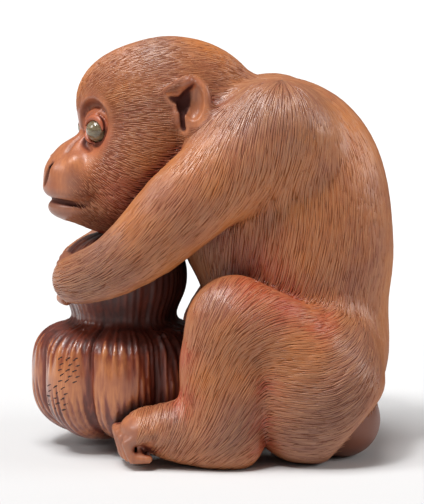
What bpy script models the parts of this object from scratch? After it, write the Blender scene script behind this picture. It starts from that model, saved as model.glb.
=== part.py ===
"""Carved boxwood okimono: a young monkey hugging a double gourd, with two inlaid horn eyes.

The figure faces -Y and its left side is at +X. It sits on z = 0, with the origin under the middle of its box.
The monkey and the gourd are carved from one block, so they are one solid. The block is worked as a carver
works it: rounded masses are blended into each other, then sockets, mouth, ears and creases are cut in.
"""

import math

import bmesh
import bpy
import numpy as np
from mathutils import Matrix

# Driving dimensions, in metres
HEIGHT = 0.060  # from the ground to the crown of the head
GOURD_LOWER_RADIUS = 0.0136
GOURD_LOWER_HEIGHT = 0.0174
GOURD_LIFT = 0.0012  # of its underside off the ground
GOURD_UPPER_RADIUS = 0.0093
GOURD_WAIST_RADIUS = 0.0077
GOURD_WAIST_HEIGHT = 0.0188
GOURD_CREASE_DEPTH = 0.0013
GOURD_LOBES = 8
GOURD_TURN = math.radians(4)
EYE_RADIUS = 0.00168
EYE_DOME = 0.0018  # how far an eye's dome stands out of its rim
EYE_THICKNESS = 0.0008  # of the inlay behind its rim
EYE_CLEARANCE = 0.0003
GRAIN = 0.00055  # spacing of the grid that the surface is read from

# The figure's pose and masses are shares of its height: one unit is a sixtieth of it
UNIT = HEIGHT / 60
HEAD_CENTRE = (0.3, -7.0, 48.6)
HEAD_TURN = math.radians(12)  # to its own left
EYE_PLACE = (3.75, -10.25, -1.75)  # of the left eye, from the head's centre
EYE_LOOK = math.radians(36)  # each eye looks this far outwards
ORBIT_LOOK = math.radians(24)  # and the hollow round it opens this far outwards
EAR_TURN = -0.53
EAR_EDGE = 0.4
GOURD_AXIS_Y = -12.9
REACH = 6.0  # the widest fillet: beyond it a limb's distance need not be exact
FIGURE_TRIANGLES = 9500
SMALL_CARVING_TRIANGLES = 5000  # of them on the face, ears, fingers and toes
EYE_SIDES = 16


def units(length):
    return length / UNIT


def smoothstep(values, low, high):
    share = np.clip((values - low) / (high - low), 0.0, 1.0)
    return share * share * (3.0 - 2.0 * share)


def blend(first, second, width):
    """The union of two distances, with a fillet of about this width."""
    share = np.maximum(width - np.abs(first - second), 0.0)
    return np.minimum(first, second) - share * share / (4.0 * np.maximum(width, 1e-6))


def cut(body, cutter, width):
    """The body less the cutter, with its edge eased over this width."""
    return -blend(-body, cutter, width)


def turn_about(axis, angle):
    """A rotation matrix for row vectors: points @ matrix turns them by angle about the axis x, y or z."""
    c, s = math.cos(angle), math.sin(angle)
    first, second = {"x": (1, 2), "y": (2, 0), "z": (0, 1)}[axis]
    matrix = np.eye(3)
    matrix[first, first] = matrix[second, second] = c
    matrix[first, second], matrix[second, first] = s, -s
    return matrix


def mass(points, centre, radii, turn=None):
    """Distance to an ellipsoid, turned by a rotation matrix about its own centre."""
    local = points - np.array(centre)
    if turn is not None:
        local = local @ turn.T
    radii = np.array(radii, dtype=float)
    scaled = length(local / radii)
    slope = length(local / radii**2)
    return scaled * (scaled - 1.0) / np.maximum(slope, 1e-6)


def smooth_path(stations, steps=4):
    """Stations (x, y, z, radius) with more between them, on a curve through them all."""
    stations = np.array(stations, dtype=float)
    ends = np.vstack([2 * stations[0] - stations[1], stations, 2 * stations[-1] - stations[-2]])
    path = []
    for before, start, end, after in zip(ends, ends[1:], ends[2:], ends[3:]):
        for t in np.arange(steps) / steps:
            path.append(
                0.5
                * (
                    2 * start
                    + (end - before) * t
                    + (2 * before - 5 * start + 4 * end - after) * t**2
                    + (3 * start - before - 3 * end + after) * t**3
                )
            )
    path.append(stations[-1])
    return np.array(path)


def length(vectors):
    return np.sqrt(np.einsum("ij,ij->i", vectors, vectors))


def limb(points, stations, steps=4):
    """Distance to a rounded limb that tapers through its stations."""
    path = smooth_path(stations, steps)
    middle = 0.5 * (path[:, :3].min(axis=0) + path[:, :3].max(axis=0))
    nearest = length(points - middle) - (length(path[:, :3] - middle) + path[:, 3]).max()
    close = nearest < REACH
    points = points[close]
    exact = np.full(len(points), np.inf)
    for start, end in zip(path, path[1:]):
        along = end[:3] - start[:3]
        offset = points - start[:3]
        share = np.clip(offset @ along / (along @ along), 0.0, 1.0)
        radius = start[3] + share * (end[3] - start[3])
        exact = np.minimum(exact, length(offset - share[:, None] * along) - radius)
    nearest[close] = exact
    return nearest


def mirrored(points):
    """The points with both halves brought to the left side."""
    return np.column_stack([np.abs(points[:, 0]), points[:, 1:]])


def to_head(points):
    """Points in the head's own axes: it faces -y there, with its left at +x."""
    return (points - np.array(HEAD_CENTRE)) @ turn_about("z", HEAD_TURN).T


def torso(points):
    chest = mass(points, (0, 8.8, 39.6), (11.8, 14.6, 14.6))
    back = mass(points, (0, 12.2, 29.0), (13.8, 14.2, 21.0))
    rump = mass(points, (0, 14.4, 14.2), (12.8, 11.4, 11.2))
    belly = mass(points, (0, 4.0, 31.0), (10.0, 8.0, 7.5))
    hips = blend(back, rump, 4.0)
    return blend(blend(chest, hips, 5.0), belly, 2.0)


def head(points):
    """The skull, muzzle, jaw and ears, in world axes."""
    local = to_head(points)
    half = mirrored(local)
    skull = mass(local, (0, 0.8, 0.0), (10.3, 12.2, 11.4))
    skull = blend(skull, mass(local, (0, 4.6, 1.2), (9.0, 9.3, 8.3)), 2.5)
    skull = blend(skull, mass(local, (0, -4.0, 1.9), (8.4, 8.7, 7.9)), 1.5)
    cheek = mass(half, (4.9, -4.6, -6.4), (5.0, 6.4, 6.4))
    skull = blend(skull, cheek, 3.0)
    bridge = limb(local, [(0, -9.0, 0.6, 2.4), (0, -9.9, -3.2, 2.3), (0, -12.6, -6.0, 2.6)])
    face = blend(skull, bridge, 1.6)
    muzzle = mass(local, (0, -11.2, -8.4), (6.0, 6.4, 4.7))
    lip = mass(local, (0, -12.4, -10.2), (5.8, 5.2, 2.3))
    face = blend(face, blend(muzzle, lip, 1.2), 2.2)
    jaw = mass(local, (0, -11.5, -13.0), (4.9, 5.5, 2.3))
    throat = mass(local, (0, -5.6, -12.6), (6.6, 7.4, 4.9))
    seam = 0.5 + 3.0 * smoothstep(local[:, 1], -13.5, -8.5)
    face = blend(face, blend(jaw, throat, 2.0), seam)
    return blend(face, ear(half), 0.9)


def ear(half):
    """A cupped shell that opens outwards and forwards, with a rolled flap over the front of its deep hollow."""
    place = (half - np.array((10.7, 1.7, 2.0))) @ turn_about("z", EAR_TURN).T
    shell = blend(mass(place, (0, 0.1, 0.9), (1.5, 3.1, 3.5)), mass(place, (-0.1, 0.2, -2.6), (1.3, 1.9, 3.0)), 1.5)
    dish = mass(place, (1.5, 1.0, 0.7), (1.4, 1.6, 2.7))
    shell = cut(shell, dish, EAR_EDGE)
    flap = mass(place, (0.9, -1.2, 2.6), (0.9, 2.5, 1.05), turn_about("x", 0.45))
    front = mass(place, (0.5, -2.2, 1.2), (0.9, 1.1, 1.5))
    tragus = mass(place, (0.6, -1.7, -1.7), (0.9, 0.8, 1.4))
    shell = blend(blend(shell, flap, 0.3), blend(front, tragus, 0.3), 0.3)
    return cut(shell, ear_slot(place), EAR_EDGE)


def ear_slot(place):
    """The deep wedge behind the ear's flap, and the narrow pit below it."""
    wedge = limb(place, [(1.5, 1.2, 2.9, 0.3), (1.2, 0.1, 1.6, 0.8), (0.9, -0.7, 0.2, 1.0), (0.9, -0.3, -0.7, 0.5)], 2)
    pit = limb(place, [(1.2, -0.7, -1.6, 0.35), (0.9, -0.6, -3.0, 0.4)], 1)
    return np.minimum(wedge, pit)


def eye_centre(side):
    """The middle of an eye's rim, in the head's own axes."""
    x, y, z = EYE_PLACE
    return np.array((side * x, y, z))


def eye_axes(side, look=EYE_LOOK):
    """A rotation matrix for row vectors that turns +z to the way an eye looks, in the head's own axes."""
    return turn_about("x", math.radians(84)) @ turn_about("z", side * look)


def carve_face(body, points):
    """Cuts the sockets, lids, nostrils and mouth."""
    half = mirrored(to_head(points))
    from_orbit = (half - eye_centre(1)) @ eye_axes(1, ORBIT_LOOK).T
    body = cut(body, mass(from_orbit, (0.3, 0.7, 1.8), (3.3, 3.8, 2.4)), 0.5)
    from_eye = (half - eye_centre(1)) @ eye_axes(1).T
    lid = mass(from_eye, (0.0, 0.1, -0.4), (2.9, 2.7, 1.6))
    body = blend(body, lid, 0.5)
    across = length(from_eye[:, :2]) - units(EYE_RADIUS + EYE_CLEARANCE)
    seat = -from_eye[:, 2] - units(EYE_THICKNESS + EYE_CLEARANCE)
    body = cut(body, np.maximum(across, seat), 0.1)
    mouth = limb(half, [(0, -17.6, -11.9, 0.35), (2.9, -16.4, -12.0, 0.5), (5.2, -12.9, -12.5, 0.45)])
    body = cut(body, mouth, 0.4)
    nostril = limb(half, [(0.9, -17.9, -9.0, 0.4), (1.7, -17.0, -7.6, 0.6), (2.3, -15.6, -6.2, 0.35)])
    return cut(body, nostril, 0.3)


def arm_stations(side):
    """The arm from the shoulder round the gourd's upper bulb, which it hugs, to the wrist."""
    reach = units(GOURD_UPPER_RADIUS)
    return [
        (side * 9.6, 9.0, 46.4, 7.7),
        (side * 12.0, 1.6, 41.0, 6.4),
        (side * (reach + 4.0), -4.4, 36.2, 5.9),
        (side * (reach + 3.9), -8.7, 32.0, 5.2),
        (side * (reach + 3.6), -13.3, 28.5, 4.3),
        (side * (reach + 1.9), -16.9, 26.7, 3.8),
        (side * (reach - 0.8), -19.4, 25.7, 3.4),
        (side * 5.6, GOURD_AXIS_Y - reach + 2.4, 25.1, 2.7),
    ]


def arm(points, side):
    front = GOURD_AXIS_Y - units(GOURD_UPPER_RADIUS)
    sleeve = limb(points, arm_stations(side), 2)
    for finger in range(4):
        level = 27.2 - 1.6 * finger
        stations = [
            (side * 5.6, front + 1.2, level, 0.9),
            (side * 3.6, front + 0.5, level, 0.9),
            (side * 1.4, front + 0.4, level - 0.3, 0.8),
        ]
        sleeve = blend(sleeve, limb(points, stations, 2), 0.2)
    thumb = [(side * 6.0, front + 3.0, 27.2, 1.1), (side * 3.0, front + 1.2, 28.3, 0.8)]
    return blend(sleeve, limb(points, thumb, 1), 0.6)


def leg_spread():
    return units(GOURD_LOWER_RADIUS) + 2.4


def knee_shift(side):
    """The right knee is drawn back and lower than the left one."""
    return (0.0, 0.0) if side > 0 else (1.6, -1.4)


def thigh(points, side):
    spread = leg_spread()
    back, up = knee_shift(side)
    upper = limb(
        points,
        [
            (side * spread, 3.4 + back, 21.6 + up, 5.5),
            (side * (spread - 0.3), 8.2, 19.4, 5.4),
            (side * (spread - 2.6), 15.4, 12.6, 8.2),
        ],
    )
    haunch = mass(points, (side * (spread - 3.6), 14.2, 9.6), (8.6, 9.8, 9.9))
    return blend(upper, haunch, 2.5)


def shin(points, side):
    """The lower leg: the shin in front, and the calf pressed against the haunch behind it."""
    spread = leg_spread()
    back, up = knee_shift(side)
    front = limb(
        points,
        [
            (side * spread, 2.0 + back, 19.6 + up, 5.3),
            (side * spread, 0.6, 15.5, 5.0),
            (side * spread, 0.4, 10.5, 4.8),
            (side * (spread - 0.2), 0.8, 5.2, 4.9),
        ],
    )
    calf = limb(
        points,
        [
            (side * (spread - 0.2), 4.4, 17.0, 4.3),
            (side * (spread - 0.1), 4.3, 11.5, 4.6),
            (side * (spread - 0.3), 3.0, 6.0, 4.5),
        ],
    )
    return blend(front, calf, 3.0)


def foot(points, side):
    spread = leg_spread()
    sole = limb(
        points,
        [
            (side * (spread + 0.2), 3.2, 3.4, 3.6),
            (side * (spread - 0.1), -4.0, 4.9, 4.3),
            (side * (spread - 0.3), -8.4, 5.4, 3.2),
        ],
    )
    ball = mass(points, (side * (spread - 0.4), -10.0, 5.6), (3.9, 3.0, 2.0))
    sole = blend(sole, ball, 1.5)
    toes = None
    for toe in range(5):
        outward = side * (spread - 3.5 + 1.55 * toe)
        curl = limb(points, toe_stations(outward, toe), 1)
        toes = curl if toes is None else np.minimum(toes, curl)
    return blend(sole, toes, 0.35)


def toe_stations(outward, toe):
    """A toe bent down at its knuckle and back at its tip, so that it frames a square gap; 4 is the outer one."""
    front = -13.2 + 0.1 * toe**2
    top = 5.0 - 0.07 * toe**2
    return [
        (outward, -8.6, 5.6, 1.2),
        (outward, front, top, 0.85),
        (outward, front + 0.8, 1.75, 0.8),
        (outward, front + 2.7, 1.7, 0.7),
    ]


def below_rump(points):
    """How far each point is below the slanting edge where the fur of the rump ends, over the pads."""
    across = np.abs(points[:, 0])
    return (1.2 * (points[:, 1] - 18.6 + 0.19 * across) - points[:, 2]) / 1.57


def pads(points):
    """The two bare sitting pads, under the back of the rump."""
    return mass(mirrored(points), (7.4, 18.7, 5.3), (6.9, 5.6, 5.5))


def superellipsoid(radial, height, radius, half_height, fullness):
    """Distance to a turned body whose section is fuller than an ellipse where fullness is over 2."""
    across = radial / radius
    up = np.abs(height) / half_height
    size = np.maximum((across**fullness + up**fullness) ** (1.0 / fullness), 1e-6)
    slope = np.hypot(
        (across / size) ** (fullness - 1.0) / radius, (up / size) ** (fullness - 1.0) / half_height
    )
    return (size - 1.0) / np.maximum(slope, 1e-6)


def gourd(points):
    """Two ribbed bulbs and the waist between them."""
    lower = units(GOURD_LOWER_RADIUS)
    half_height = units(0.5 * GOURD_LOWER_HEIGHT)
    upper = units(GOURD_UPPER_RADIUS)
    waist = units(GOURD_WAIST_RADIUS)
    waist_height = units(GOURD_WAIST_HEIGHT)
    across = points[:, 0]
    along = points[:, 1] - GOURD_AXIS_Y
    height = points[:, 2]
    radial = np.hypot(across, along)
    around = np.arctan2(along, across)
    widest = half_height + units(GOURD_LIFT) + 0.5
    upper_half = superellipsoid(radial, height - widest, lower, half_height - 0.1, 3.7)
    lower_half = superellipsoid(radial, height - widest, lower, half_height + 0.5, 2.7)
    bulb = np.where(height > widest, upper_half, lower_half)
    crown = superellipsoid(radial, height - waist_height - 6.4, upper, 6.8, 2.3)
    column = np.maximum(radial - waist, np.abs(height - waist_height) - 5.0)
    body = blend(blend(bulb, column, 1.2), crown, 1.5)
    crease = 1.0 - np.abs(np.cos(0.5 * GOURD_LOBES * (around - GOURD_TURN))) ** 0.7
    fade = 1.0 - 0.75 * smoothstep(height, waist_height - 6.0, waist_height - 1.0)
    return body + units(GOURD_CREASE_DEPTH) * crease * fade * smoothstep(radial, 1.0, 5.0)


def figure(points):
    """Distance to the whole carving, in units, at each of the points."""
    body = torso(points)
    at_back = smoothstep(points[:, 1], 12.0, 19.0)
    for side in (1, -1):
        body = blend(body, thigh(points, side), 1.6 + 4.4 * at_back)
    body = blend(cut(body, -below_rump(points), 1.0), pads(points), 0.3)
    body = blend(body, head(points), 2.2)
    for side in (1, -1):
        shoulder = np.array(arm_stations(side)[0][:3])
        near = 1.0 - smoothstep(length(points - shoulder), 6.0, 17.0)
        body = blend(body, arm(points, side), 0.5 + 4.5 * near)
    body = carve_face(body, points)
    for side in (1, -1):
        lower_leg = blend(shin(points, side), foot(points, side), 2.0)
        knee_level = 19.0 + knee_shift(side)[1]
        near_knee = smoothstep(points[:, 2], knee_level - 4.0, knee_level + 0.5)
        body = blend(body, lower_leg, 0.7 + 2.9 * near_knee)
    return blend(body, gourd(points), 0.4)


def sampled(field, low, high, grain, block=8):
    """The field on a grid over the box, read closely only in the blocks that the surface passes near."""
    blocks = np.ceil((np.array(high) - np.array(low)) / (grain * block)).astype(int)
    corners = np.indices(blocks).reshape(3, -1).T * block
    centres = np.array(low) + (corners + 0.5 * (block - 1)) * grain
    rough = field(centres)
    reach = 0.5 * math.sqrt(3.0) * block * grain * 1.5
    values = np.repeat(rough[:, None], block**3, axis=1).astype(np.float32)
    near = np.flatnonzero(np.abs(rough) < reach)
    steps = np.indices((block,) * 3).reshape(3, -1).T
    for some in np.array_split(near, max(1, len(near) // 200)):
        places = np.array(low) + (corners[some][:, None, :] + steps) * grain
        values[some] = field(places.reshape(-1, 3)).reshape(len(some), -1)
    grid = values.reshape(*blocks, block, block, block).transpose(0, 3, 1, 4, 2, 5)
    return np.ascontiguousarray(grid.reshape(blocks * block))


CORNERS = [(i >> 2 & 1, i >> 1 & 1, i & 1) for i in range(8)]
EDGES = [(a, b) for a in range(8) for b in range(a + 1, 8) if bin(a ^ b).count("1") == 1]


def in_one_group(members):
    """Whether these corners of a cell are joined to each other by the cell's edges."""
    reached, fresh = set(), set(list(members)[:1])
    while fresh:
        reached |= fresh
        fresh = {b for a, b in EDGES + [(b, a) for a, b in EDGES] if a in fresh and b in members} - reached
    return reached == set(members)


def pinched_patterns():
    """For each pattern of a cell's corners, whether the surface would touch itself there."""
    patterns = []
    for pattern in range(256):
        inside = {i for i in range(8) if pattern >> i & 1}
        patterns.append(not (in_one_group(inside) and in_one_group(set(range(8)) - inside)))
    return np.array(patterns)


def corner_view(grid, corner):
    """The grid as each cell sees it at one corner."""
    nx, ny, nz = grid.shape
    x, y, z = corner
    return grid[x : nx - 1 + x, y : ny - 1 + y, z : nz - 1 + z]


def fill_pinches(grid):
    """Fills the cells in which the surface would touch itself, until none is left."""
    pinched = pinched_patterns()
    while True:
        pattern = sum(
            (corner_view(grid, corner) < 0).astype(np.uint8) << i for i, corner in enumerate(CORNERS)
        )
        bad = pinched[pattern]
        if not bad.any():
            return
        for corner in CORNERS:
            view = corner_view(grid, corner)
            view[bad] = np.minimum(view[bad], -1e-3)


def fill_hollows(grid):
    """Fills the empty places that no way leads to from outside."""
    empty = grid >= 0
    reached = np.zeros(grid.shape, dtype=bool)
    reached[0] = empty[0]
    count = 0
    while reached.sum() > count:
        count = reached.sum()
        for axis in range(3):
            after = np.moveaxis(reached, axis, 0)
            after[1:] |= after[:-1]
            after[:-1] |= after[1:]
            reached &= empty
    grid[empty & ~reached] = -1.0


def surface(grid, low, grain):
    """The points and four-sided faces of the grid's zero surface, one point to each cell that it crosses."""
    fill_pinches(grid)
    fill_hollows(grid)
    inside = grid < 0
    count = sum(corner_view(inside, corner).astype(np.uint8) for corner in CORNERS)
    crossed = (count > 0) & (count < 8)
    number = np.full(crossed.shape, -1)
    number[crossed] = np.arange(crossed.sum())
    cells = np.argwhere(crossed)
    total = np.zeros((len(cells), 3))
    hits = np.zeros(len(cells))
    for a, b in EDGES:
        at_a = grid[tuple((cells + CORNERS[a]).T)]
        at_b = grid[tuple((cells + CORNERS[b]).T)]
        hit = (at_a < 0) != (at_b < 0)
        share = at_a[hit] / (at_a[hit] - at_b[hit])
        step = np.array(CORNERS[b]) - np.array(CORNERS[a])
        total[hit] += np.array(CORNERS[a]) + share[:, None] * step
        hits[hit] += 1
    points = np.array(low) + (cells + total / hits[:, None]) * grain
    faces = []
    for axis in range(3):
        one, two = (axis + 1) % 3, (axis + 2) % 3
        changes = np.diff(inside.astype(np.int8), axis=axis)
        start = np.argwhere(changes)
        here = inside[tuple(start.T)]
        back_one, back_two = np.eye(3, dtype=int)[one], np.eye(3, dtype=int)[two]
        ring = np.stack(
            [
                number[tuple((start - shift).T)]
                for shift in (0 * back_one, back_one, back_one + back_two, back_two)
            ],
            axis=1,
        )
        ring[~here] = ring[~here][:, ::-1]
        faces.append(ring)
    return points, np.concatenate(faces)


def near_small_carving(points):
    """Whether each point is on the face, an ear, the fingers or the toes."""
    local = mirrored(to_head(points))
    eyes = length(local - eye_centre(1)) < 4.5
    snout = (local[:, 1] < -12.0) & (local[:, 2] > -14.0) & (local[:, 2] < -4.5) & (points[:, 2] > 33.0)
    ears = (local[:, 0] > 9.0) & (np.abs(local[:, 1] - 2.0) < 4.6) & (np.abs(local[:, 2] - 1.4) < 6.0)
    hand_front = GOURD_AXIS_Y - units(GOURD_UPPER_RADIUS) + 2.0
    hands = (points[:, 1] < hand_front) & (points[:, 2] > 20.5) & (points[:, 2] < 30.5)
    toes = (np.abs(points[:, 0]) > leg_spread() - 5.0) & (points[:, 1] < -9.5) & (points[:, 2] < 7.5)
    return eyes | snout | ears | hands | toes


def new_object(name, mesh, material):
    obj = bpy.data.objects.new(name, mesh)
    bpy.context.scene.collection.objects.link(obj)
    mesh.materials.append(material)
    return obj


def finish(name, colour, roughness, coat):
    material = bpy.data.materials.new(name)
    material.use_nodes = True
    shader = material.node_tree.nodes["Principled BSDF"]
    shader.inputs["Base Color"].default_value = (*colour, 1.0)
    shader.inputs["Roughness"].default_value = roughness
    shader.inputs["Metallic"].default_value = 0.0
    shader.inputs["Coat Weight"].default_value = coat
    return material


def thinned(obj, group, ratio):
    """A modifier that leaves this share of the faces, taking them only from within the group."""
    thin = obj.modifiers.new("Fewer faces", "DECIMATE")
    thin.ratio = ratio
    thin.use_collapse_triangulate = True
    thin.vertex_group = group.name
    thin.vertex_group_factor = 1e-9
    return thin


def make_figure(material):
    """The carving as one closed solid, with flat patches where it rests."""
    width = leg_spread() + 7.0
    low = np.array((-width, -29.0, -2.0))
    high = np.array((width, 29.0, 62.0))
    grid = sampled(figure, low, high, units(GRAIN))
    points, faces = surface(grid, low, units(GRAIN))
    mesh = bpy.data.meshes.new("monkey_and_gourd")
    mesh.from_pydata((points * UNIT).tolist(), [], faces.tolist())
    figure_object = new_object("monkey_and_gourd", mesh, material)
    small = near_small_carving(points)
    group = figure_object.vertex_groups.new(name="small_carving")
    group.add(np.flatnonzero(small).tolist(), 1.0, "REPLACE")
    total = 2 * len(faces)
    elsewhere = 2 * int((~small[faces[:, 0]]).sum())
    first = thinned(figure_object, group, (elsewhere + SMALL_CARVING_TRIANGLES) / total)
    second = thinned(figure_object, group, FIGURE_TRIANGLES / (elsewhere + SMALL_CARVING_TRIANGLES))
    first.invert_vertex_group = False
    second.invert_vertex_group = True
    bpy.ops.mesh.primitive_cube_add(size=1.0, location=(0, 0, -0.5 * HEIGHT))
    ground = bpy.context.object
    ground.name = "ground_cutter"
    ground.scale = (2 * HEIGHT, 2 * HEIGHT, HEIGHT)
    ground.hide_render = True
    ground.display_type = "WIRE"
    level = figure_object.modifiers.new("Flat underside", "BOOLEAN")
    level.operation = "DIFFERENCE"
    level.solver = "EXACT"
    level.object = ground
    mesh.shade_smooth()
    return figure_object


def eye_profile():
    """Half the section of an inlaid eye, from the top of its dome to the middle of its flat back."""
    steps = 5
    dome = [
        (EYE_RADIUS * math.sin(0.5 * math.pi * i / steps), EYE_DOME * math.cos(0.5 * math.pi * i / steps))
        for i in range(steps + 1)
    ]
    return dome + [(0.55 * EYE_RADIUS, -EYE_THICKNESS), (0.0, -EYE_THICKNESS)]


def make_eye(name, side, material):
    """A horn disc with a domed face, turned about its own axis and set in its socket."""
    body = bmesh.new()
    profile = [body.verts.new((radius, 0, height)) for radius, height in eye_profile()]
    edges = [body.edges.new(pair) for pair in zip(profile, profile[1:])]
    bmesh.ops.spin(
        body,
        geom=profile + edges,
        cent=(0, 0, 0),
        axis=(0, 0, 1),
        angle=2 * math.pi,
        steps=EYE_SIDES,
        use_merge=True,
    )
    bmesh.ops.remove_doubles(body, verts=body.verts, dist=1e-7)
    bmesh.ops.recalc_face_normals(body, faces=body.faces)
    mesh = bpy.data.meshes.new(name)
    body.to_mesh(mesh)
    body.free()
    eye = new_object(name, mesh, material)
    turn = eye_axes(side) @ turn_about("z", HEAD_TURN)
    centre = eye_centre(side) @ turn_about("z", HEAD_TURN) + np.array(HEAD_CENTRE)
    place = Matrix.Translation((centre * UNIT).tolist())
    eye.matrix_world = place @ Matrix(turn.T.tolist()).to_4x4()
    mesh.shade_smooth()
    return eye


def main():
    for obj in list(bpy.data.objects):
        bpy.data.objects.remove(obj, do_unlink=True)
    wood = finish("stained_boxwood", (0.30, 0.105, 0.030), 0.38, 0.25)
    horn = finish("pale_horn", (0.34, 0.31, 0.17), 0.15, 0.5)
    make_figure(wood)
    make_eye("eye_left", 1, horn)
    make_eye("eye_right", -1, horn)


main()
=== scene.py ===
"""Looks of a carved boxwood okimono: a young monkey hugging a double gourd, with inlaid horn eyes.

Laid out as a Blender add-on and run as a script. The figure faces -Y, its left side is at +X, and it sits
on z = 0. Shapes are worked out in units of a sixtieth of the figure's height, and become metres in the
meshes. Bodies are added, blended and cut as signed distances, which are negative inside a shape.
"""

import math
import random

import bmesh
import bpy
import numpy as np
from bpy.props import FloatProperty, FloatVectorProperty, IntProperty, PointerProperty
from mathutils import Matrix, Vector
from mathutils.bvhtree import BVHTree


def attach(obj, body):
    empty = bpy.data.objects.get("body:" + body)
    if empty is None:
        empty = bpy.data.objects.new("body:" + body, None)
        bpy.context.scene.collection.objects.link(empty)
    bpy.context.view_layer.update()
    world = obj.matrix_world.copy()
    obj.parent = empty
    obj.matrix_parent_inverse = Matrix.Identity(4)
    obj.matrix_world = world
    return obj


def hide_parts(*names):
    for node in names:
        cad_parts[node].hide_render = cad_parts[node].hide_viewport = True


bl_info = {
    "name": "Carved monkey and gourd",
    "version": (1, 0, 0),
    "blender": (4, 5, 0),
    "location": "3D Viewport > Sidebar > Okimono",
    "description": "Makes the carving, its cut fur, its horn eyes and a plain stage",
    "category": "Object",
}

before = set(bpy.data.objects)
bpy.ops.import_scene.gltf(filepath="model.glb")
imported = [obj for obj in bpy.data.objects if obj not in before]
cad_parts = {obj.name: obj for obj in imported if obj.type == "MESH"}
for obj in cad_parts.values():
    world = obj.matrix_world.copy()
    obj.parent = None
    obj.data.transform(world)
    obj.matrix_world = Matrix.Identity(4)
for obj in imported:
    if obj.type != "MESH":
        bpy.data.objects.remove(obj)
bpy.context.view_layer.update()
BODY = "root"
CARVING = "monkey_and_gourd"

# Sizes of the solid, its lengths in metres
HEIGHT = 0.060
GOURD_LOWER_RADIUS = 0.0136
GOURD_LOWER_HEIGHT = 0.0174
GOURD_LIFT = 0.0012
GOURD_UPPER_RADIUS = 0.0093
GOURD_WAIST_RADIUS = 0.0077
GOURD_WAIST_HEIGHT = 0.0188
GOURD_CREASE_DEPTH = 0.0013
GOURD_LOBES = 8
GOURD_TURN = math.radians(1.5)  # brings the creases to where the photograph shows them
EYE_RADIUS = 0.00168
EYE_DOME = 0.0018
EYE_THICKNESS = 0.0008
EYE_CLEARANCE = 0.0003

# The figure's pose, in units of a sixtieth of its height
UNIT = HEIGHT / 60
HEAD_CENTRE = (0.3, -7.0, 48.6)
HEAD_TURN = math.radians(12)
EYE_PLACE = (3.75, -10.25, -1.75)
EYE_TILT = math.radians(84)
EYE_LOOK = math.radians(36)
ORBIT_LOOK = math.radians(24)
EAR_PLACE = (10.7, 1.7, 2.0)
EAR_TURN = -0.53
EAR_EDGE = 0.25
NOSTRIL = (
    (0.9, -17.7, -9.4, 0.36),
    (1.6, -17.4, -8.2, 0.48),
    (1.9, -16.7, -7.0, 0.42),
    (1.8, -15.9, -5.9, 0.25),
)  # x, y, z and radius along it
GOURD_AXIS_Y = -12.9
REACH = 6.0  # further off than this, the distance to a limb is only a safe lower guess

# y, z and reach of the places where the stain stays red, and of those where a mauve-brown is painted over
# the wood, as painted sheen on upper surfaces and as painted shade on lower ones, in the same units
RED_PLACES = (
    (6.2, 27.5, 4.6),
    (11.0, 23.5, 2.5),
    (15.5, 20.5, 2.0),
    (-4.2, 10.5, 2.2),
    (-4.2, 16.0, 1.8),
    (7.4, 12.0, 1.6),
    (7.0, 7.0, 1.6),
    (7.0, 3.0, 1.8),
)
SHEEN_AND_SHADE_PLACES = (
    (14.0, 3.0, 6.0),
    (17.5, 10.0, 5.5),
    (20.0, 17.5, 3.0),
    (3.0, 5.5, 3.5),
    (-17.5, 26.0, 4.5),
    (-16.5, 32.5, 4.0),
    (-22.5, 35.5, 2.2),
    (-20.0, 39.6, 1.5),
    (-11.5, 4.5, 2.4),
    (-5.0, 7.0, 2.6),
    (13.0, 50.5, 4.5),
    (5.5, 50.0, 5.0),
    (-8.0, 58.5, 3.5),
    (1.0, 24.2, 2.4),
)

# The gourd's rind: the flutes' spacing in units, the ribs round its neck and the seeds of what wanders
FLUTE_PITCH = 0.95
NECK_RIBS = 52
RIB_SEED = 5
FLAME_SEED = 9
PATCH_SEED = 12
FLUTE_SEED = 4

# The cut hair: how closely it may lie, in units, and the seeds of its random draws
CELL = 0.11
CELLS_ACROSS = 2048
CROWDING = 0.17
HEAD_GAP = 0.1
BODY_GAP = 0.12
HAIR_STEPS = 2
PLACE_SEED = 12
HAIR_SEED = 11
HAIR_PIECES = (
    ("fur_head", 0, 0),
    ("fur_arm_left", 1, 0),
    ("fur_arm_right", 2, 0),
    ("fur_leg_left", 3, 1),
    ("fur_leg_right", 3, -1),
    ("fur_torso_left", 4, 1),
    ("fur_torso_right", 4, -1),
)  # name, part of the body, and the side that it keeps to, or 0

# Reading the shapes on grids: their blocks, and how much faster than a true distance a blend may rise
BLOCK = 8
BLOCKS_AT_ONCE = 200
STEEPEST = 1.5

# Detail of the meshes
CARVING_TRIANGLES = 140000
GOURD_TRIANGLES = 90000
EYE_STEPS = 12
EYE_SIDES = 48

# Marks on the gourd: the middle's y, the first row's z and the number of rows, and their spacing, in units
MARK_GROUPS = ((-20.9, 14.3, 5), (-22.7, 10.1, 5))
MARK_ROW = 0.78
MARK_STEP = 1.1
MARK_SEED = 5
MARK_WIDTH = 0.00034
MARK_HEIGHT = 0.00012

# Light: the world's strength, and each softbox's name, strength, angle across and the way it lies
WORLD_STRENGTH = 0.18
SOFTBOXES = (
    ("Overhead", 2.3, 34.0, (0.2, -0.2, 1.0)),
    ("Window", 1.05, 9.0, (0.5, -0.35, 1.0)),
    ("Left", 0.85, 24.0, (0.3, -0.8, 0.6)),
    ("Back", 0.95, 30.0, (0.1, 1.0, 0.45)),
)

FLOOR_HALF = 8.0

# The photograph's camera
CAMERA_AZIMUTH = math.radians(90)
CAMERA_ELEVATION = math.radians(7)
CAMERA_DISTANCE = 0.352
CAMERA_TARGET = (0.0, 0.0, 0.0286)
PICTURE_HEIGHT = 504
PIXELS_FOCAL = 2406
SENSOR = 36.0


def units(metres):
    return metres / UNIT


def smoothstep(values, low, high):
    share = np.clip((values - low) / (high - low), 0.0, 1.0)
    return share * share * (3.0 - 2.0 * share)


def length(vectors):
    return np.sqrt(np.einsum("ij,ij->i", vectors, vectors))


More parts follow.
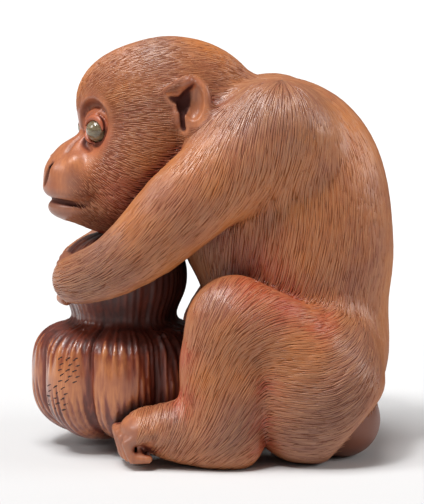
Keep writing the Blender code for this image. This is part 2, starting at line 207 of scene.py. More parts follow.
def unit(vectors):
    return vectors / np.maximum(length(vectors), 1e-9)[:, None]


def blend(first, second, width):
    """The union of two distances, with a fillet of about this width."""
    share = np.maximum(width - np.abs(first - second), 0.0)
    return np.minimum(first, second) - share * share / (4.0 * np.maximum(width, 1e-6))


def cut(body, cutter, width):
    """The body less the cutter, with its edge eased over this width."""
    return -blend(-body, cutter, width)


def turn_about(axis, angle):
    """A rotation matrix for row vectors: points @ matrix turns them by angle about the axis x, y or z."""
    c, s = math.cos(angle), math.sin(angle)
    first, second = {"x": (1, 2), "y": (2, 0), "z": (0, 1)}[axis]
    matrix = np.eye(3)
    matrix[first, first] = matrix[second, second] = c
    matrix[first, second], matrix[second, first] = s, -s
    return matrix


def mass(points, centre, radii, turn=None):
    """Distance to an ellipsoid, turned by a rotation matrix about its own centre."""
    local = points - np.array(centre)
    if turn is not None:
        local = local @ turn.T
    radii = np.array(radii, dtype=float)
    scaled = length(local / radii)
    slope = length(local / radii**2)
    return scaled * (scaled - 1.0) / np.maximum(slope, 1e-6)


def smooth_path(stations, steps=4):
    """Stations (x, y, z, radius) with more between them, on a curve through them all."""
    stations = np.array(stations, dtype=float)
    ends = np.vstack([2 * stations[0] - stations[1], stations, 2 * stations[-1] - stations[-2]])
    path = []
    for before, start, end, after in zip(ends, ends[1:], ends[2:], ends[3:]):
        for t in np.arange(steps) / steps:
            bend = (2 * before - 5 * start + 4 * end - after) * t**2
            twist = (3 * start - before - 3 * end + after) * t**3
            path.append(0.5 * (2 * start + (end - before) * t + bend + twist))
    path.append(stations[-1])
    return np.array(path)


def limb(points, stations, steps=4):
    """Distance to a rounded limb that tapers through its stations."""
    path = smooth_path(stations, steps)
    middle = 0.5 * (path[:, :3].min(axis=0) + path[:, :3].max(axis=0))
    nearest = length(points - middle) - (length(path[:, :3] - middle) + path[:, 3]).max()
    close = nearest < REACH
    points = points[close]
    exact = np.full(len(points), np.inf)
    for start, end in zip(path, path[1:]):
        along = end[:3] - start[:3]
        offset = points - start[:3]
        share = np.clip(offset @ along / (along @ along), 0.0, 1.0)
        radius = start[3] + share * (end[3] - start[3])
        exact = np.minimum(exact, length(offset - share[:, None] * along) - radius)
    nearest[close] = exact
    return nearest


def mirrored(points):
    return np.column_stack([np.abs(points[:, 0]), points[:, 1:]])


def to_head(points):
    """Points in the head's own axes: it faces -y there, with its left at +x."""
    return (points - np.array(HEAD_CENTRE)) @ turn_about("z", HEAD_TURN).T


def torso(points):
    chest = mass(points, (0, 8.8, 39.6), (11.8, 14.6, 14.6))
    back = mass(points, (0, 12.2, 29.0), (13.8, 14.2, 21.0))
    rump = mass(points, (0, 14.4, 14.2), (12.8, 11.4, 11.2))
    belly = mass(points, (0, 4.0, 31.0), (10.0, 8.0, 7.5))
    hips = blend(back, rump, 4.0)
    return blend(blend(chest, hips, 5.0), belly, 2.0)


def head(points):
    """The skull, muzzle, jaw and ears, in world axes."""
    local = to_head(points)
    half = mirrored(local)
    skull = mass(local, (0, 0.8, 0.0), (10.3, 12.2, 11.4))
    skull = blend(skull, mass(local, (0, 4.6, 1.2), (9.0, 9.3, 8.3)), 2.5)
    skull = blend(skull, mass(local, (0, -4.0, 1.9), (8.4, 8.7, 7.9)), 1.5)
    cheek = mass(half, (4.9, -4.6, -6.4), (5.0, 6.4, 6.4))
    skull = blend(skull, cheek, 3.0)
    bridge = limb(local, [(0, -9.0, 0.6, 2.4), (0, -9.9, -3.2, 2.3), (0, -12.6, -6.0, 2.6)])
    face = blend(skull, bridge, 1.6)
    muzzle = mass(local, (0, -11.2, -8.4), (6.0, 6.4, 4.7))
    lip = mass(local, (0, -12.4, -10.2), (5.8, 5.2, 2.3))
    face = blend(face, blend(muzzle, lip, 1.2), 2.2)
    cheekbone = mass(half, (3.7, -13.6, -6.4), (1.4, 1.3, 1.3))
    face = blend(face, cheekbone, 0.8)
    jaw = mass(local, (0, -11.5, -13.0), (4.9, 5.5, 2.3))
    throat = mass(local, (0, -5.6, -12.6), (6.6, 7.4, 4.9))
    seam = 0.5 + 3.0 * smoothstep(local[:, 1], -13.5, -8.5)
    face = blend(face, blend(jaw, throat, 2.0), seam)
    return blend(face, ear(half), 0.9)


def to_ear(half):
    """Points of the head's left half in the ear's axes: x outwards, -y forwards and z up."""
    return (half - np.array(EAR_PLACE)) @ turn_about("z", EAR_TURN).T


def ear(half):
    """A cupped shell that opens outwards and forwards, with a rolled flap over its deep hollow."""
    place = to_ear(half)
    lobe = mass(place, (-0.1, 0.2, -2.6), (1.3, 1.9, 3.0))
    shell = blend(mass(place, (0, 0.1, 0.9), (1.5, 3.1, 3.5)), lobe, 1.5)
    dish = mass(place, (1.5, 1.0, 0.7), (1.4, 1.6, 2.7))
    shell = cut(shell, dish, EAR_EDGE)
    flap = mass(place, (0.9, -1.4, 2.5), (0.9, 2.8, 1.1), turn_about("x", 0.45))
    front = mass(place, (0.5, -2.2, 1.2), (0.9, 1.1, 1.5))
    tragus = mass(place, (0.6, -1.7, -1.7), (0.9, 0.8, 1.4))
    shell = blend(blend(shell, flap, 0.3), blend(front, tragus, 0.3), 0.3)
    fold = limb(place, [(1.9, -2.8, 2.1, 0.35), (1.7, -1.5, 2.9, 0.7), (1.3, 0.2, 3.6, 0.8)], 2)
    return cut(blend(shell, fold, 0.3), ear_slot(place), EAR_EDGE)


def ear_slot(place):
    """The deep wedge behind the ear's flap, the narrow pit below it, and the cut under the flap."""
    top, middle, narrow = (1.5, 1.2, 2.9, 0.3), (0.9, -0.7, 0.3, 0.9), (1.0, -0.7, -0.9, 0.42)
    wedge = limb(place, [top, (1.2, 0.1, 1.6, 0.75), middle, narrow], 2)
    pit = limb(place, [narrow, (1.2, -0.7, -1.7, 0.3), (0.9, -0.6, -3.0, 0.36)], 2)
    undercut = limb(place, [(0.9, -0.8, 0.7, 0.55), (1.7, -2.5, 1.1, 0.24)], 1)
    return np.minimum(np.minimum(wedge, pit), undercut)


def ear_opening(half):
    """Distance to the bare inside of the ear."""
    place = to_ear(half)
    return np.minimum(mass(place, (1.4, 1.0, 0.7), (1.7, 2.1, 3.2)), ear_slot(place) - 0.3)


def eye_centre(side):
    x, y, z = EYE_PLACE
    return np.array((side * x, y, z))


def eye_axes(side, look=EYE_LOOK):
    """A rotation matrix for row vectors that turns +z to the way an eye looks, in the head's own axes."""
    return turn_about("x", EYE_TILT) @ turn_about("z", side * look)


def to_eye(half, look=EYE_LOOK):
    """Points of the head's left half in the eye's axes: x outwards, y up and z the way it looks."""
    return (half - eye_centre(1)) @ eye_axes(1, look).T


def eye_hollow(half):
    return mass(to_eye(half, ORBIT_LOOK), (0.3, 0.7, 1.8), (3.3, 3.8, 2.4))


def lid_fold(from_eye, radius, thickness, start, stop, rise):
    """A thin fold of skin on an arc round the eye, between two angles in degrees."""
    angles = np.radians(np.linspace(start, stop, 6))
    swell = np.sin(np.linspace(0.25, math.pi - 0.25, 6))
    arc = [(radius * math.cos(a), radius * math.sin(a), rise, thickness * s) for a, s in zip(angles, swell)]
    return limb(from_eye, arc, 2)


def under_eye(from_eye):
    """How near each point is to the creases of the skin below an eye and beside the nose, from 0 to 1."""
    flat = np.column_stack([from_eye[:, :2], 0 * from_eye[:, 2]])
    inner = limb(flat, [(-2.9, -0.4, 0.0, 0.0), (-3.5, -1.8, 0.0, 0.0), (-3.3, -3.4, 0.0, 0.0)])
    outer = limb(flat, [(-2.2, -1.0, 0.0, 0.0), (-1.8, -2.2, 0.0, 0.0), (-0.4, -3.0, 0.0, 0.0)])
    return np.exp(-((np.minimum(inner, outer) / 0.28) ** 2)) * smoothstep(from_eye[:, 2], -2.5, -1.5)


def mouth_line(half):
    middle, corner = (2.0, -16.2, -11.8, 0.32), (3.5, -14.9, -12.0, 0.32)
    return limb(half, [(0, -16.9, -11.7, 0.32), middle, corner, (4.7, -12.6, -12.5, 0.25)])


def carve_face(body, points):
    """Cuts the sockets, lids, nostrils and mouth."""
    half = mirrored(to_head(points))
    from_eye = to_eye(half)
    body = cut(body, eye_hollow(half), 0.35)
    lid = mass(from_eye, (0.0, 0.3, -0.5), (2.6, 2.6, 1.6))
    body = blend(body, lid, 0.4)
    body = blend(body, lid_fold(from_eye, 2.75, 0.42, 160, 25, 0.4), 0.25)
    body = body + 0.3 * under_eye(from_eye)
    across = length(from_eye[:, :2]) - units(EYE_RADIUS + 0.3 * EYE_CLEARANCE)
    seat = -from_eye[:, 2] - units(EYE_THICKNESS + EYE_CLEARANCE)
    body = cut(body, np.maximum(across, seat), 0.1)
    body = blend(body, lid_fold(from_eye, 1.8, 0.5, 168, -5, 0.95), 0.2)
    body = blend(body, lid_fold(from_eye, 1.95, 0.4, 185, 255, 0.5), 0.15)
    body = cut(body, mouth_line(half), 0.25)
    wing = mass(half, (2.3, -15.7, -8.0), (1.0, 1.4, 1.7))
    body = blend(body, wing, 0.6)
    return cut(body, limb(half, NOSTRIL), 0.25)


def arm_stations(side):
    reach = units(GOURD_UPPER_RADIUS)
    return [
        (side * 9.6, 9.0, 46.4, 7.7),
        (side * 12.0, 1.6, 41.0, 6.4),
        (side * (reach + 4.0), -4.4, 36.2, 5.9),
        (side * (reach + 3.9), -8.7, 32.0, 5.2),
        (side * (reach + 3.6), -13.3, 28.5, 4.3),
        (side * (reach + 1.9), -16.9, 26.7, 3.8),
        (side * (reach - 0.8), -19.4, 25.7, 3.4),
        (side * 5.6, GOURD_AXIS_Y - reach + 2.4, 25.1, 2.7),
    ]


def arm(points, side):
    front = GOURD_AXIS_Y - units(GOURD_UPPER_RADIUS)
    sleeve = limb(points, arm_stations(side), 2)
    for finger in range(4):
        level = 27.2 - 1.6 * finger
        stations = [
            (side * 5.6, front + 1.2, level, 0.9),
            (side * 3.6, front + 0.5, level, 0.9),
            (side * 1.4, front + 0.4, level - 0.3, 0.8),
        ]
        sleeve = blend(sleeve, limb(points, stations, 2), 0.2)
    thumb = [(side * 6.0, front + 3.0, 27.2, 1.1), (side * 3.0, front + 1.2, 28.3, 0.8)]
    return blend(sleeve, limb(points, thumb, 1), 0.6)


def leg_spread():
    """How far a leg stands from the middle, clear of the gourd."""
    return units(GOURD_LOWER_RADIUS) + 2.4


def knee_shift(side):
    """How far back and up a knee lies: the right one is drawn back and lower."""
    return (0.0, 0.0) if side > 0 else (1.6, -1.4)


def thigh(points, side):
    spread = leg_spread()
    back, up = knee_shift(side)
    knee, hip = (side * spread, 3.4 + back, 21.6 + up, 5.5), (side * (spread - 2.6), 15.4, 12.6, 8.2)
    upper = limb(points, [knee, (side * (spread - 0.3), 8.2, 19.4, 5.4), hip])
    haunch = mass(points, (side * (spread - 3.6), 14.2, 9.6), (8.6, 9.8, 9.9))
    return blend(upper, haunch, 2.5)


def shin(points, side):
    """The lower leg: the shin in front, and the calf pressed against the haunch behind it."""
    spread = leg_spread()
    back, up = knee_shift(side)
    knee, ankle = (side * spread, 2.0 + back, 19.6 + up, 5.3), (side * (spread - 0.2), 0.8, 5.2, 4.9)
    front = limb(points, [knee, (side * spread, 0.6, 15.5, 5.0), (side * spread, 0.4, 10.5, 4.8), ankle])
    hollow, heel = (side * (spread - 0.2), 4.4, 17.0, 4.3), (side * (spread - 0.3), 3.0, 6.0, 4.5)
    calf = limb(points, [hollow, (side * (spread - 0.1), 4.3, 11.5, 4.6), heel])
    return blend(front, calf, 3.0)


def foot(points, side):
    spread = leg_spread()
    heel, instep = (side * (spread + 0.2), 3.2, 3.4, 3.6), (side * (spread - 0.1), -4.0, 4.9, 4.3)
    sole = limb(points, [heel, instep, (side * (spread - 0.3), -8.4, 5.4, 3.2)])
    ball = mass(points, (side * (spread - 0.4), -10.0, 5.6), (3.9, 3.0, 2.0))
    sole = blend(sole, ball, 1.5)
    curls = [toe_stations(side * (spread - 3.5 + 1.55 * toe), toe) for toe in range(5)]
    toes = np.min([limb(points, curl, 1) for curl in curls], axis=0)
    outside = side * (spread + 3.4)
    gap = limb(points, [(outside, -10.5, 3.0, 0.75), (outside, -8.9, 3.1, 0.75)], 1)
    return cut(blend(sole, toes, 0.35), gap, 0.15)


def toe_stations(outward, toe):
    """A toe bent down at its knuckle and back at its tip, framing a square gap; 4 is the outer one."""
    front = -13.2 + 0.1 * toe**2
    top = 5.0 - 0.07 * toe**2
    return [
        (outward, -8.6, 5.5, 1.1),
        (outward, front - 0.3, top, 0.8),
        (outward, front + 0.5, 1.75, 0.75),
        (outward, front + 2.7, 1.7, 0.65),
    ]


def below_rump(points):
    """How far each point is below the slanting edge where the fur of the rump ends, over the pads."""
    across = np.abs(points[:, 0])
    return (1.2 * (points[:, 1] - 18.6 + 0.19 * across) - points[:, 2]) / 1.57


def pads(points):
    """The two bare sitting pads, under the back of the rump."""
    return mass(mirrored(points), (7.4, 18.7, 5.3), (6.9, 5.6, 5.5))


def monkey(points):
    """Distance to the monkey without the gourd, cut off flat where it rests."""
    body = torso(points)
    at_back = smoothstep(points[:, 1], 12.0, 19.0)
    for side in (1, -1):
        body = blend(body, thigh(points, side), 1.6 + 4.4 * at_back)
    body = blend(cut(body, -below_rump(points), 1.0), pads(points), 0.3)
    body = blend(body, head(points), 2.2)
    for side in (1, -1):
        shoulder = np.array(arm_stations(side)[0][:3])
        near = 1.0 - smoothstep(length(points - shoulder), 6.0, 17.0)
        body = blend(body, arm(points, side), 0.5 + 4.5 * near)
    body = carve_face(body, points)
    for side in (1, -1):
        lower_leg = blend(shin(points, side), foot(points, side), 2.0)
        knee_level = 19.0 + knee_shift(side)[1]
        near_knee = smoothstep(points[:, 2], knee_level - 4.0, knee_level + 0.5)
        body = blend(body, lower_leg, 0.7 + 2.9 * near_knee)
    return np.maximum(body, -points[:, 2])


def superellipsoid(radial, height, radius, half_height, fullness):
    """Distance to a turned body whose section is fuller than an ellipse where fullness is over 2."""
    across = radial / radius
    up = np.abs(height) / half_height
    scaled = np.maximum((across**fullness + up**fullness) ** (1.0 / fullness), 1e-6)
    outward = (across / scaled) ** (fullness - 1.0) / radius
    slope = np.hypot(outward, (up / scaled) ** (fullness - 1.0) / half_height)
    return (scaled - 1.0) / np.maximum(slope, 1e-6)


def wander(values, seed, waves=4):
    """A smooth wandering value about zero, of size about one, for each number."""
    spread = np.random.default_rng(seed)
    total = np.zeros_like(values)
    for pitch, phase in zip(spread.uniform(0.6, 2.4, waves), spread.uniform(0, 2 * math.pi, waves)):
        total += np.sin(pitch * values + phase)
    return total / math.sqrt(waves)


def gourd(points):
    """Two ribbed bulbs and the waist between them, with raised ribs on the shoulder and wrinkles below."""
    lower = units(GOURD_LOWER_RADIUS)
    half_height = units(0.5 * GOURD_LOWER_HEIGHT)
    upper = units(GOURD_UPPER_RADIUS)
    waist = units(GOURD_WAIST_RADIUS)
    waist_height = units(GOURD_WAIST_HEIGHT)
    across = points[:, 0]
    along = points[:, 1] - GOURD_AXIS_Y
    height = points[:, 2]
    radial = np.hypot(across, along)
    around = np.arctan2(along, across)
    widest = half_height + units(GOURD_LIFT) + 0.5
    upper_half = superellipsoid(radial, height - widest, lower, half_height - 0.1, 3.7)
    lower_half = superellipsoid(radial, height - widest, lower, half_height + 0.5, 2.7)
    bulb = np.where(height > widest, upper_half, lower_half)
    crown = superellipsoid(radial, height - waist_height - 6.4, upper, 6.8, 2.3)
    column = np.maximum(radial - waist, np.abs(height - waist_height) - 5.0)
    body = blend(blend(bulb, column, 1.2), crown, 1.5)
    fade = 1.0 - 0.75 * smoothstep(height, waist_height - 6.0, waist_height - 1.0)
    crease = 1.25 * units(GOURD_CREASE_DEPTH) * gourd_crease(around) * fade
    wrinkles = gourd_wrinkles(around, height)[0]
    return body + crease * smoothstep(radial, 1.0, 5.0) + wrinkles * smoothstep(radial, 2.0, 6.0)


def gourd_crease(around):
    """How near each angle is to a crease between two lobes, from 0 to 1."""
    return 1.0 - np.abs(np.cos(0.5 * GOURD_LOBES * (around - GOURD_TURN))) ** 0.7


def streaks(place, seed, drift):
    """Uneven upright streaks across a place in units, from 0 to 1."""
    return 0.5 + 0.5 * np.tanh(1.5 * wander(2.6 * place + drift, seed, 6))


def gourd_wrinkles(around, height):
    """How deep the wrinkled rind lies under the plain form, in units, and how dark its stain and its
    painted shade are.
    """
    waist_height = units(GOURD_WAIST_HEIGHT)
    place = around * units(GOURD_LOWER_RADIUS)
    ribs = streaks(1.35 * place, RIB_SEED, 0.12 * height)
    flames = streaks(place, FLAME_SEED, 0.2 * height)
    neck = smoothstep(height, waist_height - 1.5, waist_height + 1.0)
    under_neck = smoothstep(height, waist_height - 2.2 - 2.2 * ribs, waist_height - 1.2 - 1.2 * ribs)
    patch = 0.5 + 0.5 * np.tanh(1.5 * wander(0.5 * place, PATCH_SEED, 3))
    shoulder = smoothstep(height, waist_height - 8.0, waist_height - 4.0) * (1.0 - neck)
    low = 1.0 - smoothstep(height, 3.5 + 5.0 * flames, 6.5 + 5.0 * flames)
    behind = smoothstep(np.sin(around), -0.1, 0.5) * (1.0 - neck)
    sway = 0.8 * wander(0.3 * height, FLUTE_SEED)
    flute = 0.5 + 0.5 * np.cos(2 * math.pi * place / FLUTE_PITCH + sway)
    rib = 0.5 + 0.5 * np.cos(around * NECK_RIBS)
    off_floor = smoothstep(height, 1.5, 4.5)
    depth = 0.36 * shoulder * ribs + 0.2 * low * flames * off_floor + 0.24 * behind * flute
    depth = depth * (1.0 - neck) + 0.13 * neck * rib
    line = smoothstep(gourd_crease(around), 0.4, 0.9) * (1.0 - neck)
    licked = 0.2 + 0.7 * flames * (0.35 + 0.65 * patch)
    stain = 0.6 * under_neck + 0.4 * shoulder * (0.1 + 0.9 * ribs) + low * licked
    in_front = smoothstep(-np.sin(around), 0.55, 0.95)
    # The side towards the body is stained in its flutes and darkened further with painted shade
    stain += behind * (0.45 + 0.45 * flute) + 0.75 * line + in_front * (0.1 + 0.2 * flute)
    # Painted shade at the top of the lower bulb, under the arms on the side towards the body
    shade_band_at_waist = smoothstep(height, waist_height - 3.6, waist_height - 2.0)
    stain += 0.6 * shade_band_at_waist * smoothstep(np.sin(around), -0.3, 0.4)
    # The neck is stained dark, with shade painted darker still on its sides and back under the arms
    in_shade = 0.5 + 0.55 * smoothstep(np.sin(around), -0.8, -0.2)
    stain = np.minimum(stain, 1.0) * (1.0 - neck) + neck * (in_shade + 0.15 * rib)
    return depth, stain


def whole(points):
    """Distance to the monkey and the gourd together."""
    return np.minimum(monkey(points), gourd(points))


def graded(low, high, fine_low, fine_high, fine, coarse):
    """Grid places that lie closer between fine_low and fine_high, in a whole number of blocks."""
    before = np.linspace(low, fine_low, max(1, round((fine_low - low) / coarse)), endpoint=False)
    after = np.arange(fine_high, high, coarse) if fine_high < high else [fine_high]
    places = np.concatenate([before, np.arange(fine_low, fine_high, fine), after])
    extra = -len(places) % BLOCK
    return np.concatenate([places, places[-1] + coarse * (1 + np.arange(extra))])


def sampled(field, axes):
    """The field on a grid, read closely only in the blocks that the surface passes near."""
    blocks = np.array([len(places) // BLOCK for places in axes])
    starts = np.indices(blocks).reshape(3, -1).T * BLOCK
    low = np.stack([axes[i][starts[:, i]] for i in range(3)], axis=1)
    high = np.stack([axes[i][starts[:, i] + BLOCK - 1] for i in range(3)], axis=1)
    rough = field(0.5 * (low + high))
    reach = 0.5 * STEEPEST * length(high - low) * BLOCK / (BLOCK - 1)
    values = np.repeat(rough[:, None], BLOCK**3, axis=1).astype(np.float32)
    near = np.flatnonzero(np.abs(rough) < reach)
    steps = np.indices((BLOCK,) * 3).reshape(3, -1).T
    for some in np.array_split(near, max(1, len(near) // BLOCKS_AT_ONCE)):
        index = starts[some][:, None, :] + steps
        places = np.stack([axes[i][index[..., i]] for i in range(3)], axis=-1)
        values[some] = field(places.reshape(-1, 3)).reshape(len(some), -1)
    grid = values.reshape(*blocks, BLOCK, BLOCK, BLOCK).transpose(0, 3, 1, 4, 2, 5)
    return np.ascontiguousarray(grid.reshape(blocks * BLOCK))


CORNERS = [(i >> 2 & 1, i >> 1 & 1, i & 1) for i in range(8)]
EDGES = [(a, b) for a in range(8) for b in range(a + 1, 8) if bin(a ^ b).count("1") == 1]


def in_one_group(members):
    """Whether these corners of a cell are joined to each other by the cell's edges."""
    reached, fresh = set(), set(list(members)[:1])
    while fresh:
        reached |= fresh
        fresh = {b for a, b in EDGES + [(b, a) for a, b in EDGES] if a in fresh and b in members} - reached
    return reached == set(members)


def pinched_patterns():
    """For each pattern of a cell's corners, whether the surface would touch itself there."""
    patterns = []
    for pattern in range(256):
        inside = {i for i in range(8) if pattern >> i & 1}
        patterns.append(not (in_one_group(inside) and in_one_group(set(range(8)) - inside)))
    return np.array(patterns)


def corner_view(grid, corner):
    """The grid as each cell sees it at one corner."""
    nx, ny, nz = grid.shape
    x, y, z = corner
    return grid[x : nx - 1 + x, y : ny - 1 + y, z : nz - 1 + z]


def fill_pinches(grid):
    """Fills the cells in which the surface would touch itself, until none is left."""
    pinched = pinched_patterns()
    while True:
        pattern = np.zeros(tuple(n - 1 for n in grid.shape), dtype=np.uint8)
        for i, corner in enumerate(CORNERS):
            pattern += (corner_view(grid, corner) < 0).astype(np.uint8) << i
        bad = pinched[pattern]
        if not bad.any():
            return
        for corner in CORNERS:
            view = corner_view(grid, corner)
            view[bad] = np.minimum(view[bad], -1e-3)


def surface(grid, axes):
    """The points and four-sided faces of the grid's zero surface, one point to each crossed cell."""
    fill_pinches(grid)
    inside = grid < 0
    count = sum(corner_view(inside, corner).astype(np.uint8) for corner in CORNERS)
    crossed = (count > 0) & (count < 8)
    number = np.full(crossed.shape, -1, dtype=np.int32)
    number[crossed] = np.arange(crossed.sum())
    cells = np.argwhere(crossed)
    total = np.zeros((len(cells), 3))
    hits = np.zeros(len(cells))
    for a, b in EDGES:
        at_a = grid[tuple((cells + CORNERS[a]).T)]
        at_b = grid[tuple((cells + CORNERS[b]).T)]
        hit = (at_a < 0) != (at_b < 0)
        share = at_a[hit] / (at_a[hit] - at_b[hit])
        step = np.array(CORNERS[b]) - np.array(CORNERS[a])
        total[hit] += np.array(CORNERS[a]) + share[:, None] * step
        hits[hit] += 1
    index = cells + total / hits[:, None]
    points = np.stack([np.interp(index[:, i], np.arange(len(axes[i])), axes[i]) for i in range(3)], axis=1)
    faces = []
    for axis in range(3):
        one, two = np.eye(3, dtype=int)[(axis + 1) % 3], np.eye(3, dtype=int)[(axis + 2) % 3]
        start = np.argwhere(np.diff(inside.astype(np.int8), axis=axis))
        here = inside[tuple(start.T)]
        shifts = (0 * one, one, one + two, two)
        ring = np.stack([number[tuple((start - shift).T)] for shift in shifts], axis=1)
        ring[~here] = ring[~here][:, ::-1]
        faces.append(ring)
    return main_shell(points, np.concatenate(faces))


def main_shell(points, faces):
    """Leaves out the small shells round bubbles that the carving hides."""
    label = np.arange(len(points))
    while True:
        lowest = label[faces].min(axis=1)
        fresh = label.copy()
        for corner in range(4):
            np.minimum.at(fresh, faces[:, corner], lowest)
        fresh = fresh[fresh]
        if (fresh == label).all():
            break
        label = fresh
    names, sizes = np.unique(label, return_counts=True)
    kept = label == names[sizes.argmax()]
    renumber = np.cumsum(kept) - 1
    return points[kept], renumber[faces[kept[faces[:, 0]]]]


def openness(points, normals):
    """How open each place is to light: 0 deep in a crease, 1 on an open form."""
    near, far = (np.clip(whole(points + step * normals) / step, 0.0, 1.0) for step in (1.2, 4.0))
    return 0.5 * near + 0.5 * far


def new_mesh(name, points, edges=(), faces=()):
    mesh = bpy.data.meshes.new(name)
    mesh.from_pydata((np.asarray(points) * UNIT).tolist(), list(edges), list(faces))
    return mesh


def new_object(name, mesh):
    obj = bpy.data.objects.new(name, mesh)
    bpy.context.scene.collection.objects.link(obj)
    return obj


def store(mesh, name, values):
    kind = "FLOAT_VECTOR" if np.ndim(values) == 2 else "FLOAT"
    attribute = mesh.attributes.new(name, kind, "POINT")
    field = "vector" if kind == "FLOAT_VECTOR" else "value"
    attribute.data.foreach_set(field, np.asarray(values, dtype=np.float32).ravel())


def points_of(mesh):
    flat = np.empty(len(mesh.vertices) * 3, dtype=np.float32)
    mesh.vertices.foreach_get("co", flat)
    return flat.reshape(-1, 3).astype(float) / UNIT


def normals_of(mesh):
    flat = np.empty(len(mesh.vertices) * 3, dtype=np.float32)
    mesh.vertex_normals.foreach_get("vector", flat)
    return flat.reshape(-1, 3).astype(float)


def settle(obj):
    """The object with its modifiers' result as its plain mesh."""
    evaluated = obj.evaluated_get(bpy.context.evaluated_depsgraph_get())
    mesh = bpy.data.meshes.new_from_object(evaluated)
    mesh.name = obj.name
    obj.modifiers.clear()
    obj.data = mesh
    return obj


def carved(name, field, axes, triangles):
    """The field's surface as a smooth mesh of at most this many triangles."""
    points, faces = surface(sampled(field, axes), axes)
    obj = new_object(name, new_mesh(name, points, faces=faces.tolist()))
    if 2 * len(faces) > triangles:
        thin = obj.modifiers.new("Fewer faces", "DECIMATE")
        thin.ratio = triangles / (2 * len(faces))
        settle(obj)
    obj.data.shade_smooth()
    return obj


def bare_skin(points):
    """Distance to the places with no fur: the face's front, the ears' insides, toes, fingers and pads."""
    local = to_head(points)
    half = mirrored(local)
    snout = mass(local, (0, -16.6, -8.2), (6.2, 3.1, 5.2))
    nose = mass(local, (0, -12.2, -3.6), (2.6, 3.6, 4.4))
    chin = mass(local, (0, -15.4, -12.6), (4.4, 2.6, 2.0))
    sockets = mass(to_eye(half, ORBIT_LOOK), (0.3, 0.5, 1.2), (3.5, 3.9, 3.2))
    cheekbone = mass(half, (3.7, -13.5, -6.2), (1.7, 1.5, 1.6))
    face = np.minimum(np.minimum(snout, nose), np.minimum(np.minimum(chin, cheekbone), sockets))
    inside_ear = ear_opening(half) - 0.15
    toes = np.maximum(points[:, 1] + 10.6, points[:, 2] - 7.4)
    toes = np.minimum(toes, np.maximum(points[:, 1] + 8.4, points[:, 2] - 4.2))
    front = GOURD_AXIS_Y - units(GOURD_UPPER_RADIUS)
    fingers = np.maximum(points[:, 1] - front - 1.6, np.abs(points[:, 0]) - 6.0)
    fingers = np.maximum(fingers, points[:, 2] - 31.0)
    seat = pads(points) - 0.5
    return np.minimum(np.minimum(face, inside_ear), np.minimum(np.minimum(toes, fingers), seat))


def bareness(points):
    """From 1 on bare skin to 0 in full fur; the hair comes in slowly over the face."""
    on_face = 1.0 - smoothstep(to_head(points)[:, 1], -12.0, -8.0)
    distance = bare_skin(points)
    return 1.0 - smoothstep(distance, 0.0, 0.6 + 2.4 * on_face * (head(points) < 0.5))


def arm_flow(points, side):
    """Distance to the arm, and the way its hair lies: down at the shoulder, along the arm further on."""
    path = smooth_path(arm_stations(side), 2)
    nearest = np.full(len(points), np.inf)
    way = np.zeros((len(points), 3))
    for number, (start, end) in enumerate(zip(path, path[1:])):
        along = end[:3] - start[:3]
        offset = points - start[:3]
        share = np.clip(offset @ along / (along @ along), 0.0, 1.0)
        radius = start[3] + share * (end[3] - start[3])
        distance = length(offset - share[:, None] * along) - radius
        closer = distance < nearest
        nearest[closer] = distance[closer]
        travel = (number + share[closer]) / (len(path) - 1)
        turn = smoothstep(travel, 0.02, 0.42)[:, None]
        down = np.array((0.0, -0.12, -1.0))
        way[closer] = (1.0 - turn) * down + turn * along / np.linalg.norm(along)
    return nearest, way


def leg_flow(points):
    """Hair on a leg lies level round the haunch, bends over the thigh and runs steeply down the shin."""
    y, z = points[:, 1], points[:, 2]
    haunch = np.interp(y, (9.0, 14.0, 19.0, 22.0, 25.5), (-8.0, 0.0, 30.0, 60.0, 85.0))
    front = np.interp(y, (-4.0, 0.0, 5.0), (80.0, 66.0, 58.0))
    front = front - 26.0 * (1.0 - smoothstep(z, 2.0, 9.0))
    turn_from = np.interp(z, (13.0, 19.0), (6.3, 1.0))
    turn_to = np.interp(z, (13.0, 19.0), (8.5, 13.0))
    share = np.clip((y - turn_from) / (turn_to - turn_from), 0.0, 1.0)
    angle = np.radians(front + (haunch - front) * share)
    return np.stack([0 * y, np.cos(angle), np.sin(angle)], axis=1)


def hair_flow(points, normals):
    """The way the hair lies at each place along the surface, and which part of the body it grows on."""
    local = to_head(points)
    from_face = unit(local - np.array((0.0, -10.0, -3.0)))
    swept_back = 0.5 * from_face + 0.5 * np.array((0.0, 1.0, -0.25))
    ways = [swept_back @ turn_about("z", HEAD_TURN)]
    distances = [head(points)]
    for side in (1, -1):
        distance, way = arm_flow(points, side)
        distances.append(distance)
        ways.append(way)
    legs = [limb_part(points, side) for limb_part in (thigh, shin, foot) for side in (1, -1)]
    distances.append(np.min(legs, axis=0))
    course = leg_flow(points)
    slope = np.einsum("ij,ij->i", course, normals)
    course[:, 0] = -slope * normals[:, 0] / (normals[:, 0] ** 2 + 0.06)
    ways.append(unit(course))
    neck = smoothstep(points[:, 2], 42.0, 55.0)
    lean = 1.0 - smoothstep(points[:, 2], 26.0, 42.0)
    ways.append(np.stack([0 * neck, 0.9 * neck - 0.25 * lean, -1.0 + 0 * neck], axis=1))
    distances.append(torso(points))
    distances = np.stack(distances)
    weights = np.exp(-np.maximum(distances - distances.min(axis=0), 0.0) / 0.7)
    ways = np.stack(ways)
    part = distances.argmin(axis=0)
    own = ways[part, np.arange(len(points))]
    total = np.zeros_like(points)
    for weight, way in zip(weights, ways):
        same = np.where(np.einsum("ij,ij->i", way, own) < 0, -1.0, 1.0)
        total += (weight * same)[:, None] * way
    total -= np.einsum("ij,ij->i", total, normals)[:, None] * normals
    return unit(total), part


def on_surface(tree, places):
    """The nearest points of the carving to these places, and its outward normals there."""
    found = [tree.find_nearest(place)[:2] for place in places.tolist()]
    return np.array([spot for spot, _ in found]), np.array([normal for _, normal in found])


